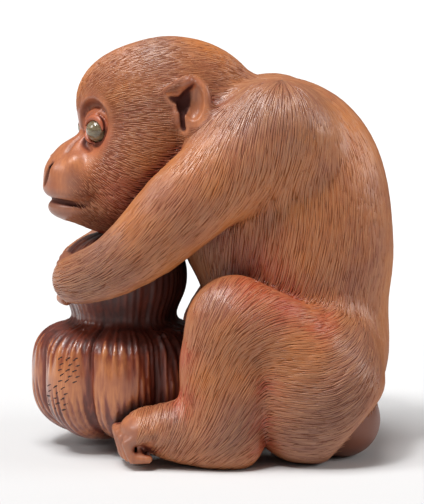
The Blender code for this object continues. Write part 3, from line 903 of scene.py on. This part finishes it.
def traced(tree, starts, reach, steps):
    """Paths along the hair, both ways from each start, the surface's normals and each start's part."""
    starts, normals = on_surface(tree, starts)
    course, part = hair_flow(starts, normals)
    halves = []
    for way in (-1.0, 1.0):
        place, normal, heading = starts, normals, way * course
        walk = []
        for _ in range(steps):
            place, normal = on_surface(tree, place + heading * (reach / steps)[:, None])
            fresh, _ = hair_flow(place, normal)
            same = np.where(np.einsum("ij,ij->i", fresh, heading) < 0, -1.0, 1.0)
            heading = fresh * same[:, None]
            walk.append((place, normal))
        halves.append(walk)
    line = halves[0][::-1] + [(starts, normals)] + halves[1]
    return np.stack([p for p, _ in line], axis=1), np.stack([n for _, n in line], axis=1), part


def scattered(mesh, count, seed):
    """Places spread evenly at random over a mesh, with its normals there."""
    rng = np.random.default_rng(seed)
    mesh.calc_loop_triangles()
    corners = np.empty(len(mesh.loop_triangles) * 3, dtype=np.int32)
    mesh.loop_triangles.foreach_get("vertices", corners)
    corners = corners.reshape(-1, 3)
    points = points_of(mesh)
    a, b, c = (points[corners[:, i]] for i in range(3))
    area = length(np.cross(b - a, c - a))
    chosen = np.searchsorted(np.cumsum(area), rng.uniform(0, area.sum(), count))
    chosen = np.minimum(chosen, len(area) - 1)
    u, v = rng.uniform(0, 1, (2, count))
    flip = u + v > 1
    u[flip], v[flip] = 1 - u[flip], 1 - v[flip]
    return a[chosen] + u[:, None] * (b - a)[chosen] + v[:, None] * (c - a)[chosen]


def spaced(paths, normals, gap):
    """Which paths to keep so that they lie about a gap apart; the first ones have the first choice."""
    before, after = paths[:, :-1], paths[:, 1:]
    parts = [before + (after - before) * share for share in (0.0, 0.33, 0.67)]
    samples = np.stack(parts, axis=2).reshape(len(paths), -1, 3)
    forward = unit((after - before).reshape(-1, 3)).reshape(before.shape)
    sideways = np.repeat(np.cross(forward, normals[:, :-1]), 3, axis=1)
    rows = []
    for shift in (0.0, -1.0, 1.0):
        spots = samples + shift * gap[:, None, None] * sideways
        index = np.floor(spots / CELL).astype(np.int64) + CELLS_ACROSS // 2
        rows.append((index[..., 0] * CELLS_ACROSS + index[..., 1]) * CELLS_ACROSS + index[..., 2])
    taken, kept = set(), []
    for number, (middle, band) in enumerate(zip(rows[0].tolist(), np.concatenate(rows, axis=1).tolist())):
        if sum(cell in taken for cell in band) <= CROWDING * len(band):
            kept.append(number)
            taken.update(middle)
    return np.array(kept)


def feed(node, inputs):
    """Links or sets a node's inputs, by name or number, from nodes, sockets, values or colours."""
    for key, source in inputs.items():
        socket = node.inputs[key]
        if isinstance(source, bpy.types.Node):
            source = next(output for output in source.outputs if output.enabled)
        if isinstance(source, bpy.types.NodeSocket):
            node.id_data.links.new(source, socket)
        else:
            socket.default_value = (*source, 1.0) if socket.type == "RGBA" else source


def add(tree, kind, inputs=None, **settings):
    """Adds a node with these settings and inputs."""
    made = tree.nodes.new(kind)
    for name, value in settings.items():
        setattr(made, name, value)
    feed(made, inputs or {})
    return made


def strand_tree():
    """Turns edges into thin tapered strands of wood, each with a flat base along the surface."""
    if "Cut strands" in bpy.data.node_groups:
        return bpy.data.node_groups["Cut strands"]
    tree = bpy.data.node_groups.new("Cut strands", "GeometryNodeTree")
    interface = tree.interface
    interface.new_socket("Geometry", in_out="INPUT", socket_type="NodeSocketGeometry")
    for name, default in (("Width", 0.0003), ("Height", 0.0001)):
        socket = interface.new_socket(name, in_out="INPUT", socket_type="NodeSocketFloat")
        socket.default_value = default
        socket.subtype = "DISTANCE"
    interface.new_socket("Material", in_out="INPUT", socket_type="NodeSocketMaterial")
    interface.new_socket("Geometry", in_out="OUTPUT", socket_type="NodeSocketGeometry")
    given = add(tree, "NodeGroupInput").outputs
    swell = add(tree, "GeometryNodeInputNamedAttribute", {"Name": "swell"}, data_type="FLOAT")
    lift = add(tree, "GeometryNodeInputNamedAttribute", {"Name": "lift"}, data_type="FLOAT_VECTOR")
    curve = add(tree, "GeometryNodeMeshToCurve", {"Mesh": given["Geometry"]})
    level = add(tree, "GeometryNodeSetCurveNormal", {"Curve": curve, "Normal": lift}, mode="FREE")
    ring = add(tree, "GeometryNodeCurvePrimitiveCircle", {"Resolution": 3, "Radius": 0.5}, mode="RADIUS")
    scale = add(tree, "ShaderNodeCombineXYZ", {"X": given["Height"], "Y": given["Width"], "Z": 1.0})
    shape = add(tree, "GeometryNodeTransform", {"Geometry": ring, "Scale": scale})
    swept = {"Curve": level, "Profile Curve": shape, "Scale": swell, "Fill Caps": True}
    solid = add(tree, "GeometryNodeCurveToMesh", swept)
    smooth = add(tree, "GeometryNodeSetShadeSmooth", {"Geometry": solid, "Shade Smooth": True})
    real = add(tree, "GeometryNodeRealizeInstances", {"Geometry": smooth})
    dressed = add(tree, "GeometryNodeSetMaterial", {"Geometry": real, "Material": given["Material"]})
    add(tree, "NodeGroupOutput", {"Geometry": dressed})
    return tree


def strands(name, paths, lifts, swell, values, width, height, material):
    """One piece of many tapered strands that follow the paths (count by stations by 3)."""
    count, stations = paths.shape[:2]
    first = np.arange(count)[:, None] * stations + np.arange(stations - 1)
    edges = np.stack([first, first + 1], axis=2).reshape(-1, 2)
    mesh = new_mesh(name, paths.reshape(-1, 3), edges=edges.tolist())
    store(mesh, "lift", lifts.reshape(-1, 3))
    store(mesh, "swell", swell.ravel())
    for key, each in values.items():
        store(mesh, key, np.repeat(each, stations))
    piece = new_object(name, mesh)
    tree = strand_tree()
    grow = piece.modifiers.new("Cut strands", "NODES")
    grow.node_group = tree
    given = {"Width": width, "Height": height, "Material": material}
    for item in tree.interface.items_tree:
        if item.in_out == "INPUT" and item.name in given:
            grow[item.identifier] = given[item.name]
    return settle(piece)


def linear(code):
    """A colour written as sRGB hex, as Blender's linear values."""
    parts = [int(code[i : i + 2], 16) / 255 for i in (0, 2, 4)]
    return tuple(p / 12.92 if p <= 0.04045 else ((p + 0.055) / 1.055) ** 2.4 for p in parts)


def per_mm(across):
    """The scale of a noise whose features are about this many millimetres across."""
    return 1000.0 / across


def laid(tree, value, base, over, low=0.0, high=1.0, most=1.0, least=0.0):
    """One colour laid over another by how high a value stands: a node's, or the mesh's own of that name."""
    if isinstance(value, str):
        value = add(tree, "ShaderNodeAttribute", attribute_name=value).outputs["Fac"]
    share = add(tree, "ShaderNodeMapRange", {0: value, 1: low, 2: high, 3: least, 4: most})
    return add(tree, "ShaderNodeMix", {0: share, 6: base, 7: over}, data_type="RGBA")


def patched(tree, place, base, over, across, low, high, most=1.0, detail=3.0, stretch=None):
    """One colour laid over another in uneven patches this many millimetres across, drawn out by stretch."""
    if stretch:
        place = add(tree, "ShaderNodeMapping", {"Vector": place, "Scale": stretch})
    cloud = add(tree, "ShaderNodeTexNoise", {"Vector": place, "Scale": per_mm(across), "Detail": detail})
    return laid(tree, cloud, base, over, low, high, most)


def new_material(name, roughness, coat, ior=1.5, coat_roughness=0.22):
    """A material, its tree, its shader and its object coordinates."""
    material = bpy.data.materials.new(name)
    material.use_nodes = True
    tree = material.node_tree
    shader = tree.nodes["Principled BSDF"]
    feed(shader, {"Roughness": roughness, "IOR": ior})
    feed(shader, {"Coat Weight": coat, "Coat Roughness": coat_roughness})
    return material, tree, shader, add(tree, "ShaderNodeTexCoord").outputs["Object"]


def boxwood_colour(tree, place, colours):
    """Orange-brown stained wood on the fur, going to red and crimson in places, and warmer on bare skin;
    its stain has worn thin in patches. A mauve-brown is painted over it as sheen on upper surfaces and as
    shade on lower ones."""
    fur = patched(tree, place, colours.fur_orange, colours.fur_brown, 9.0, 0.36, 0.64)
    fur = patched(tree, place, fur, colours.fur_dark, 1.2, 0.4, 0.75, 0.25)
    skin = patched(tree, place, colours.skin, colours.skin_dark, 4.0, 0.35, 0.68, detail=4.0)
    skin = patched(tree, place, skin, colours.skin_dark, 0.35, 0.42, 0.62, 0.4, stretch=(1.0, 1.0, 0.12))
    wood = laid(tree, "bare", fur, skin)
    # Painted sheen and shade: mauve-brown laid over upper surfaces where light glances off them, and over
    # lower ones where shade falls
    wood = laid(tree, "veil", wood, colours.fur_sheen_and_shade, most=0.75)
    wood = laid(tree, "warmth", wood, colours.red, most=0.8)
    return laid(tree, "openness", wood, colours.hollow, 0.62, 0.1)


def cut_boxwood(colours):
    """Stained boxwood left by the graver: satin ridges, each a little paler or darker than the next."""
    material, tree, shader, place = new_material("Stained boxwood cut as fur", 0.38, 0.4, 1.5, 0.18)
    wood = boxwood_colour(tree, place, colours)
    feed(shader, {"Base Color": laid(tree, "tone", wood, colours.fur_pale, 0.2, 1.0, 0.36)})
    return material


def polished_boxwood(colours):
    """The same boxwood, polished on bare skin, and duller and darker in the grooves between the hairs;
    shade is painted darker into the face's recesses.
    """
    material, tree, shader, place = new_material("Stained boxwood polished", 0.34, 0.2)
    wood = laid(tree, "pad", boxwood_colour(tree, place, colours), colours.pad)
    wood = laid(tree, "bare", wood, colours.groove_stain_and_shade, most=0.0, least=0.55)
    # Painted shade in the face's recesses, and the pads' darker colour, in the grooves' dark colour
    wood = laid(tree, "stain", wood, colours.groove_stain_and_shade)
    wood = laid(tree, "openness", wood, colours.deepest, 0.5, 0.05)
    bare = add(tree, "ShaderNodeAttribute", attribute_name="bare").outputs["Fac"]
    stain = add(tree, "ShaderNodeAttribute", attribute_name="stain").outputs["Fac"]
    polish = add(tree, "ShaderNodeMath", {0: bare, 1: stain}, operation="SUBTRACT", use_clamp=True)
    gloss = {"Roughness": (0.65, 0.42), "Coat Weight": (0.0, 0.25), "Specular IOR Level": (0.15, 0.5)}
    for name, (dull, bright) in gloss.items():
        feed(shader, {name: add(tree, "ShaderNodeMapRange", {0: polish, 3: dull, 4: bright})})
    upright = add(tree, "ShaderNodeMapping", {"Vector": place, "Scale": (1.0, 1.0, 0.15)})
    grain = add(tree, "ShaderNodeTexNoise", {"Vector": upright, "Scale": per_mm(0.25), "Detail": 3.0})
    bump = add(tree, "ShaderNodeBump", {"Strength": 0.25, "Distance": 0.00004, "Height": grain})
    feed(shader, {"Base Color": wood, "Normal": bump})
    return material


def gourd_wood(colours):
    """The same boxwood, polished on the gourd's rind, going from orange through red-brown to dull
    black-brown where the stain is left in its wrinkles, and where shade is painted near the body and under
    the arms."""
    material, tree, shader, place = new_material("Stained boxwood gourd rind", 0.3, 0.4)
    rind = patched(tree, place, colours.rind, colours.rind_dark, 5.0, 0.35, 0.68, detail=4.0)
    rind = patched(tree, place, rind, colours.rind_dark, 0.3, 0.42, 0.62, 0.5, stretch=(1.0, 1.0, 0.1))
    wrinkle = add(tree, "ShaderNodeAttribute", attribute_name="wrinkle").outputs["Fac"]
    upright = add(tree, "ShaderNodeMapping", {"Vector": place, "Scale": (1.0, 1.0, 0.2)})
    cloud = add(tree, "ShaderNodeTexNoise", {"Vector": upright, "Scale": per_mm(0.8), "Detail": 3.0})
    uneven = add(tree, "ShaderNodeMapRange", {0: cloud, 1: 0.3, 2: 0.7, 3: -0.25, 4: 0.25})
    stain = add(tree, "ShaderNodeMath", {0: wrinkle, 1: uneven}, operation="ADD")
    # The stain value also carries painted shade on the side towards the body and under the arms
    rind = laid(tree, stain, rind, colours.rind_red_stain_and_shade, 0.1, 0.6)
    rind = laid(tree, stain, rind, colours.groove_stain_and_shade, 0.5, 1.25)
    feed(shader, {"Base Color": laid(tree, "openness", rind, colours.deepest, 0.6, 0.0)})
    for name, low, plain, stained in (("Roughness", 0.4, 0.28, 0.5), ("Coat Weight", 0.5, 0.5, 0.05)):
        feed(shader, {name: add(tree, "ShaderNodeMapRange", {0: wrinkle, 1: low, 3: plain, 4: stained})})
    return material


def engraved_stain(colours):
    """Black-brown stain held in shallow knife cuts, dull beside the polished rind."""
    material, tree, shader, place = new_material("Dark stain in knife cuts", 0.6, 0.0)
    worn = patched(tree, place, colours.deepest, colours.groove_stain_and_shade, 0.4, 0.4, 0.7, 0.6, detail=2.0)
    feed(shader, {"Base Color": worn})
    return material


def eye_horn(colours):
    """Pale horn, polished like glass: olive, faintly streaked, with a little light through its rim."""
    material, tree, shader, place = new_material("Polished pale horn", 0.16, 0.6, 1.54, 0.06)
    horn = patched(tree, place, colours.horn, colours.horn_dark, 0.5, 0.35, 0.7, stretch=(1.0, 0.3, 1.0))
    feed(shader, {"Base Color": horn, "Subsurface Weight": 0.15, "Subsurface Scale": 0.0006})
    return material


def near_places(points, places):
    """How near each point is to any of these places (y, z, reach), from 0 to 1."""
    total = np.zeros(len(points))
    for y, z, reach in places:
        total += np.exp(-((points[:, 1] - y) ** 2 + (points[:, 2] - z) ** 2) / reach**2)
    return np.clip(total, 0.0, 1.0)


def warmth(points):
    """Where the red of the stain shows: round the eyes, on the cheeks and beside the legs' creases."""
    local = mirrored(to_head(points))
    near_eye = np.exp(-((length(local - eye_centre(1)) / 3.0) ** 2))
    on_cheek = np.exp(-((length(local - np.array((6.5, -7.5, -9.5))) / 3.4) ** 2))
    patches = near_places(points, RED_PLACES)
    return np.maximum(np.maximum(near_eye, on_cheek), patches)


def face_painted_shade(points):
    """Painted shade under the brow, behind the eyes and in the creases below them, in the ears' slots and
    along the mouth and nostrils.
    """
    half = mirrored(to_head(points))
    from_orbit = to_eye(half, ORBIT_LOOK)
    from_eye = to_eye(half)
    angle = np.degrees(np.arctan2(from_orbit[:, 1], from_orbit[:, 0] - 0.2))
    far = length(from_orbit[:, :2] - np.array((0.2, 0.4)))
    under_brow = smoothstep(far, 2.6, 3.2) * (1.0 - smoothstep(far, 3.6, 4.2))
    under_brow *= smoothstep(angle, -20.0, 40.0)
    under_brow *= (from_orbit[:, 2] < 1.8) & (length(from_orbit) < 5.0)
    behind_eye = 0.8 * (1.0 - smoothstep(lid_fold(from_eye, 2.2, 0.75, 262, 378, 0.1), 0.0, 0.3))
    behind_eye = np.maximum(behind_eye, 0.35 * under_eye(from_eye))
    in_ear = 1.0 - smoothstep(ear_slot(to_ear(half)), 0.0, 0.3)
    nostril = 0.8 * (1.0 - smoothstep(limb(half, NOSTRIL[:3]), 0.0, 0.25))
    mouth = 1.0 - smoothstep(mouth_line(half), -0.1, 0.25)
    lines = np.maximum(nostril, mouth)
    return np.maximum(np.maximum(0.5 * under_brow, behind_eye), np.maximum(in_ear, lines))


def claim(piece, node):
    """Hangs a finished piece on the body, and hides the part of the solid that it takes the place of."""
    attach(piece, BODY)
    if node:
        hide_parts(node)


def dress(obj, material, extras):
    """Gives a carved mesh its material and the values that the material reads at each point."""
    mesh = obj.data
    points, normals = points_of(mesh), normals_of(mesh)
    store(mesh, "openness", openness(points, normals))
    for name, values in extras(points).items():
        store(mesh, name, values)
    mesh.materials.clear()
    mesh.materials.append(material)


def size(name, description, default):
    return FloatProperty(name=name, description=description, default=default, unit="LENGTH", precision=5)


def colour(name, code):
    told = {"name": name, "description": f"Colour: {name.lower()}", "default": linear(code)}
    return FloatVectorProperty(size=3, min=0.0, max=1.0, subtype="COLOR", **told)


class OkimonoSizes(bpy.types.PropertyGroup):
    """Sizes of the carving's finer work."""

    body_grain: size("Body grain", "Spacing of the grid that the body is read from", 0.00042)
    face_grain: size("Face grain", "Spacing of the grid that the head is read from", 0.00024)
    gourd_grain: size("Gourd grain", "Spacing of the grid that the gourd is read from", 0.00025)
    hair_length: size("Hair length", "Length of the longest cut hairs", 0.0042)
    hair_width: size("Hair width", "Width of a cut hair", 0.00036)
    hair_height: size("Hair height", "Thickness of a cut hair, most of which stands out", 0.00026)
    hair_tries: IntProperty(name="Hair tries", description="Places tried for a hair", default=210000)


class OkimonoColours(bpy.types.PropertyGroup):
    """Colours of the stained wood and the horn."""

    fur_orange: colour("Orange fur", "bc7038")
    fur_brown: colour("Brown fur", "a46244")
    fur_dark: colour("Dark fur", "7c4430")
    fur_pale: colour("Pale fur", "d29a6e")
    fur_sheen_and_shade: colour("Mauve-brown painted sheen and shade", "885c4c")
    red: colour("Red stain", "ae4429")
    hollow: colour("Stain in the fur's hollows", "92361f")
    pad: colour("Sitting pads", "8c5640")
    skin: colour("Bare skin", "c67c4e")
    skin_dark: colour("Dark bare skin", "985538")
    rind: colour("Gourd's rind", "c47c4a")
    rind_dark: colour("Dark rind", "985536")
    rind_red_stain_and_shade: colour("Red stain and painted shade on the rind", "7a3420")
    # Stain in the grooves, also the colour of the shade painted in the face's recesses and on the gourd
    groove_stain_and_shade: colour("Stain in the grooves, and painted shade", "46201a")
    deepest: colour("Stain in the deepest cuts", "2c120e")
    horn: colour("Horn", "8c7e62")
    horn_dark: colour("Dark horn", "5c4c36")
    floor: colour("Floor", "e6e6e6")
    floor_clouded: colour("Clouds in the floor", "dadada")
    floor_shade_near_camera: colour("Painted shade on the floor near the camera", "d4d4d4")


class OKIMONO_OT_carving(bpy.types.Operator):
    """Makes the monkey's body, with the face, ears, hands and feet carved finely."""

    bl_idname = "okimono.carving"
    bl_label = "Carve the monkey"

    def execute(self, context):
        sizes, colours = context.scene.okimono_sizes, context.scene.okimono_colours
        fine, coarse = units(sizes.face_grain), units(sizes.body_grain)
        width = leg_spread() + 6.5
        axes = [
            graded(-width, width, -13.0, 13.0, fine, coarse),
            graded(-28.5, 28.0, -27.5, 5.0, fine, coarse),
            graded(-1.0, 61.5, 35.5, 59.0, fine, coarse),
        ]
        obj = carved("monkey_carving", monkey, axes, CARVING_TRIANGLES)
        dress(obj, polished_boxwood(colours), self.marks)
        claim(obj, CARVING)
        return {"FINISHED"}

    @staticmethod
    def marks(points):
        # The red stain, and the mauve-brown painted as sheen on upper surfaces and as shade on lower ones
        tints = {"warmth": warmth(points), "veil": near_places(points, SHEEN_AND_SHADE_PLACES)}
        pad = 1.0 - smoothstep(pads(points), 0.1, 0.5)
        # Painted shade in the face's recesses, with the pads' own darker colour
        stain = np.maximum(face_painted_shade(points), 0.4 * pad)
        return {"bare": bareness(points), "stain": stain, "pad": pad} | tints


class OKIMONO_OT_gourd(bpy.types.Operator):
    """Makes the double gourd, with its ribs and the wrinkles of its rind."""

    bl_idname = "okimono.gourd"
    bl_label = "Carve the gourd"

    def execute(self, context):
        sizes, colours = context.scene.okimono_sizes, context.scene.okimono_colours
        grain = units(sizes.gourd_grain)
        radius = units(GOURD_LOWER_RADIUS) + 1.0
        top = units(GOURD_WAIST_HEIGHT) + 14.5
        spans = [(-radius, radius), (GOURD_AXIS_Y - radius, GOURD_AXIS_Y + radius), (0.2, top)]
        axes = [graded(low, high, low, high, grain, grain) for low, high in spans]
        obj = carved("gourd", gourd, axes, GOURD_TRIANGLES)
        dress(obj, gourd_wood(colours), self.wrinkle)
        claim(obj, CARVING)
        return {"FINISHED"}

    @staticmethod
    def wrinkle(points):
        around = np.arctan2(points[:, 1] - GOURD_AXIS_Y, points[:, 0])
        # The rind's stain, with painted shade near the body and under the arms
        return {"wrinkle": gourd_wrinkles(around, points[:, 2])[1]}


class OKIMONO_OT_eyes(bpy.types.Operator):
    """Makes the two domed horn eyes."""

    bl_idname = "okimono.eyes"
    bl_label = "Set the eyes"

    def execute(self, context):
        horn = eye_horn(context.scene.okimono_colours)
        for name, node, side in (("eye_left_dome", "eye_left", 1), ("eye_right_dome", "eye_right", -1)):
            claim(self.dome(name, side, horn), node)
        return {"FINISHED"}

    @staticmethod
    def dome(name, side, horn):
        body = bmesh.new()
        bend = [0.5 * math.pi * i / EYE_STEPS for i in range(EYE_STEPS + 1)]
        rim = [(EYE_RADIUS * math.sin(a), EYE_DOME * math.cos(a)) for a in bend]
        profile = rim + [(0.55 * EYE_RADIUS, -EYE_THICKNESS), (0.0, -EYE_THICKNESS)]
        verts = [body.verts.new((across, 0.0, up)) for across, up in profile]
        edges = [body.edges.new(pair) for pair in zip(verts, verts[1:])]
        axis = {"cent": (0, 0, 0), "axis": (0, 0, 1), "angle": 2 * math.pi}
        bmesh.ops.spin(body, geom=verts + edges, steps=EYE_SIDES, use_merge=True, **axis)
        bmesh.ops.remove_doubles(body, verts=body.verts, dist=1e-7)
        bmesh.ops.recalc_face_normals(body, faces=body.faces)
        turn = eye_axes(side) @ turn_about("z", HEAD_TURN)
        centre = eye_centre(side) @ turn_about("z", HEAD_TURN) + np.array(HEAD_CENTRE)
        place = Matrix.Translation((centre * UNIT).tolist()) @ Matrix(turn.T.tolist()).to_4x4()
        body.transform(place)
        mesh = bpy.data.meshes.new(name)
        body.to_mesh(mesh)
        body.free()
        mesh.materials.append(horn)
        mesh.shade_smooth()
        return new_object(name, mesh)


class OKIMONO_OT_fur(bpy.types.Operator):
    """Cuts the fur: thousands of fine tapered ridges that follow the way the hair lies."""

    bl_idname = "okimono.fur"
    bl_label = "Cut the fur"

    def execute(self, context):
        sizes, colours = context.scene.okimono_sizes, context.scene.okimono_colours
        carving = bpy.data.objects["monkey_carving"]
        rng = np.random.default_rng(HAIR_SEED)
        places = scattered(carving.data, sizes.hair_tries, PLACE_SEED)
        places = places[(bare_skin(places) > 0.35) & (gourd(places) > 0.3) & (places[:, 2] > 0.6)]
        count = len(places)
        faces = [tuple(face.vertices) for face in carving.data.polygons]
        tree = BVHTree.FromPolygons(points_of(carving.data).tolist(), faces)
        rank = np.linspace(1.0, 0.0, count)
        on_head = head(places) < 0.4
        face = 1.0 - smoothstep(to_head(places)[:, 1], -14.0, -3.0)
        reach = units(sizes.hair_length) * (0.22 + 0.28 * rank) * np.where(on_head, 0.6 - 0.3 * face, 1.0)
        reach *= rng.uniform(0.8, 1.2, count)
        paths, lifts, part = traced(tree, places, reach, HAIR_STEPS)
        shoulder = smoothstep(places[:, 2], 34.0, 46.0) * (part > 0)
        gap = np.where(part == 0, HEAD_GAP, BODY_GAP) + 0.02 * shoulder
        kept = spaced(paths, lifts, gap)
        paths, lifts, part, gap = paths[kept], lifts[kept], part[kept], gap[kept]
        middles = paths[:, HAIR_STEPS]
        looks = {
            "tone": rng.uniform(0.0, 1.0, len(kept)),
            "openness": openness(middles, lifts[:, HAIR_STEPS]),
            "warmth": warmth(middles),
            # mauve-brown painted as sheen on upper surfaces and as shade on lower ones
            "veil": near_places(middles, SHEEN_AND_SHADE_PLACES),
            "bare": bareness(middles),
        }
        run = np.linspace(-1.0, 1.0, 2 * HAIR_STEPS + 1)
        swell = (1.0 - np.abs(run) ** 2.2) ** 0.6
        grown = np.where(part == 0, 0.4 + 0.6 * smoothstep(bare_skin(middles), 0.3, 2.4), 1.0)
        girth = grown * gap / BODY_GAP * rng.uniform(0.85, 1.1, len(kept))
        swell = np.clip(swell, 0.12, 1.0) * girth[:, None]
        material = cut_boxwood(colours)
        for name, number, side in HAIR_PIECES:
            here = (part == number) & (side * middles[:, 0] >= 0.0)
            values = {key: each[here] for key, each in looks.items()}
            section = (sizes.hair_width, sizes.hair_height, material)
            piece = strands(name, paths[here], lifts[here], swell[here], values, *section)
            claim(piece, None)
        return {"FINISHED"}


class OKIMONO_OT_marks(bpy.types.Operator):
    """Cuts two groups of short dark strokes in the gourd's side; they are no letters."""

    bl_idname = "okimono.marks"
    bl_label = "Cut the marks"

    def execute(self, context):
        rng = random.Random(MARK_SEED)
        lines = []
        for middle, height, rows in MARK_GROUPS:
            for row in range(rows):
                level = height - MARK_ROW * row
                for step in range(3):
                    start = middle + MARK_STEP * (step - 1) + 0.3 * (row % 2) + rng.uniform(-0.1, 0.1)
                    rise = rng.uniform(0.2, 0.5)
                    bend, tip = (start + 0.25, level + 0.5 * rise), (start + 0.6, level + rise)
                    lines.append([(start, level), bend, tip])
        paths, lifts = self.on_gourd(np.array(lines))
        swell = np.tile((0.8, 1.0, 0.5), (len(lines), 1))
        values = {"tone": np.zeros(len(lines))}
        stain = engraved_stain(context.scene.okimono_colours)
        piece = strands("engraved_marks", paths, lifts, swell, values, MARK_WIDTH, MARK_HEIGHT, stain)
        claim(piece, None)
        return {"FINISHED"}

    @staticmethod
    def on_gourd(lines):
        """Lines drawn on the photograph's side of the gourd, by y and z, brought to its surface."""
        flat = lines.reshape(-1, 2)
        across = np.full(len(flat), 20.0)
        for _ in range(40):
            places = np.column_stack([across, flat])
            across = across - 0.7 * np.clip(gourd(places), -1.0, 2.0)
        places = np.column_stack([across, flat])
        here = gourd(places)
        slope = np.stack([gourd(places + 0.1 * np.eye(3)[i]) - here for i in range(3)], axis=1)
        shape = (*lines.shape[:2], 3)
        return places.reshape(shape), unit(slope).reshape(shape)


class OKIMONO_OT_stage(bpy.types.Operator):
    """Lays the pale floor, lights it and sets the camera at the photograph's angle."""

    bl_idname = "okimono.stage"
    bl_label = "Set the stage"

    def execute(self, context):
        scene = context.scene
        self.floor(scene.okimono_colours)
        self.lights(scene)
        self.camera(scene)
        scene.view_settings.view_transform = "Standard"
        return {"FINISHED"}

    @staticmethod
    def floor(colours):
        material, tree, shader, place = new_material("Pale matt paper", 0.9, 0.0)
        pale, clouded = colours.floor, colours.floor_clouded
        paper = patched(tree, place, pale, clouded, 400.0, 0.3, 0.7, 0.05, detail=2.0)
        forward = add(tree, "ShaderNodeSeparateXYZ", {0: place})
        # Painted shade: the floor grows darker towards the camera
        paper = laid(tree, forward, paper, colours.floor_shade_near_camera, -0.2, 0.05)
        feed(shader, {"Base Color": paper, "Specular IOR Level": 0.1})
        corners = [(x * FLOOR_HALF, y * FLOOR_HALF, 0.0) for x, y in ((-1, -1), (1, -1), (1, 1), (-1, 1))]
        mesh = bpy.data.meshes.new("floor")
        mesh.from_pydata(corners, [], [(0, 1, 2, 3)])
        mesh.materials.append(material)
        new_object("floor", mesh)

    @staticmethod
    def lights(scene):
        world = bpy.data.worlds.new("Studio")
        world.use_nodes = True
        feed(world.node_tree.nodes["Background"], {"Color": (1.0, 1.0, 1.0), "Strength": WORLD_STRENGTH})
        scene.world = world
        for name, strength, across, way in SOFTBOXES:
            lamp = bpy.data.lights.new(name, "SUN")
            lamp.energy = strength
            lamp.angle = math.radians(across)
            obj = bpy.data.objects.new(name, lamp)
            scene.collection.objects.link(obj)
            obj.rotation_euler = Vector(way).to_track_quat("Z", "Y").to_euler()

    @staticmethod
    def camera(scene):
        data = bpy.data.cameras.new("Camera")
        data.sensor_width = SENSOR
        data.sensor_fit = "AUTO"
        data.lens = PIXELS_FOCAL / PICTURE_HEIGHT * SENSOR
        data.clip_start = 0.01
        level, up = math.cos(CAMERA_ELEVATION), math.sin(CAMERA_ELEVATION)
        away = Vector((math.sin(CAMERA_AZIMUTH) * level, -math.cos(CAMERA_AZIMUTH) * level, up))
        obj = bpy.data.objects.new("Camera", data)
        scene.collection.objects.link(obj)
        obj.location = Vector(CAMERA_TARGET) + CAMERA_DISTANCE * away
        obj.rotation_euler = away.to_track_quat("Z", "Y").to_euler()
        scene.camera = obj


STEPS = (
    OKIMONO_OT_stage,
    OKIMONO_OT_carving,
    OKIMONO_OT_gourd,
    OKIMONO_OT_eyes,
    OKIMONO_OT_fur,
    OKIMONO_OT_marks,
)


class OKIMONO_PT_panel(bpy.types.Panel):
    """Lists the steps, the sizes and the colours."""

    bl_label = "Okimono"
    bl_space_type = "VIEW_3D"
    bl_region_type = "UI"
    bl_category = "Okimono"

    def draw(self, context):
        for step in STEPS:
            self.layout.operator(step.bl_idname)
        for group in (context.scene.okimono_sizes, context.scene.okimono_colours):
            box = self.layout.box()
            for name in group.__annotations__:
                box.prop(group, name)


CLASSES = (OkimonoSizes, OkimonoColours, *STEPS, OKIMONO_PT_panel)


def register():
    for kind in CLASSES:
        bpy.utils.register_class(kind)
    bpy.types.Scene.okimono_sizes = PointerProperty(type=OkimonoSizes)
    bpy.types.Scene.okimono_colours = PointerProperty(type=OkimonoColours)


def unregister():
    del bpy.types.Scene.okimono_colours
    del bpy.types.Scene.okimono_sizes
    for kind in reversed(CLASSES):
        bpy.utils.unregister_class(kind)


def main():
    register()
    bpy.ops.okimono.stage()
    bpy.ops.okimono.carving()
    bpy.ops.okimono.gourd()
    bpy.ops.okimono.eyes()
    bpy.ops.okimono.fur()
    bpy.ops.okimono.marks()


if __name__ == "__main__":
    main()
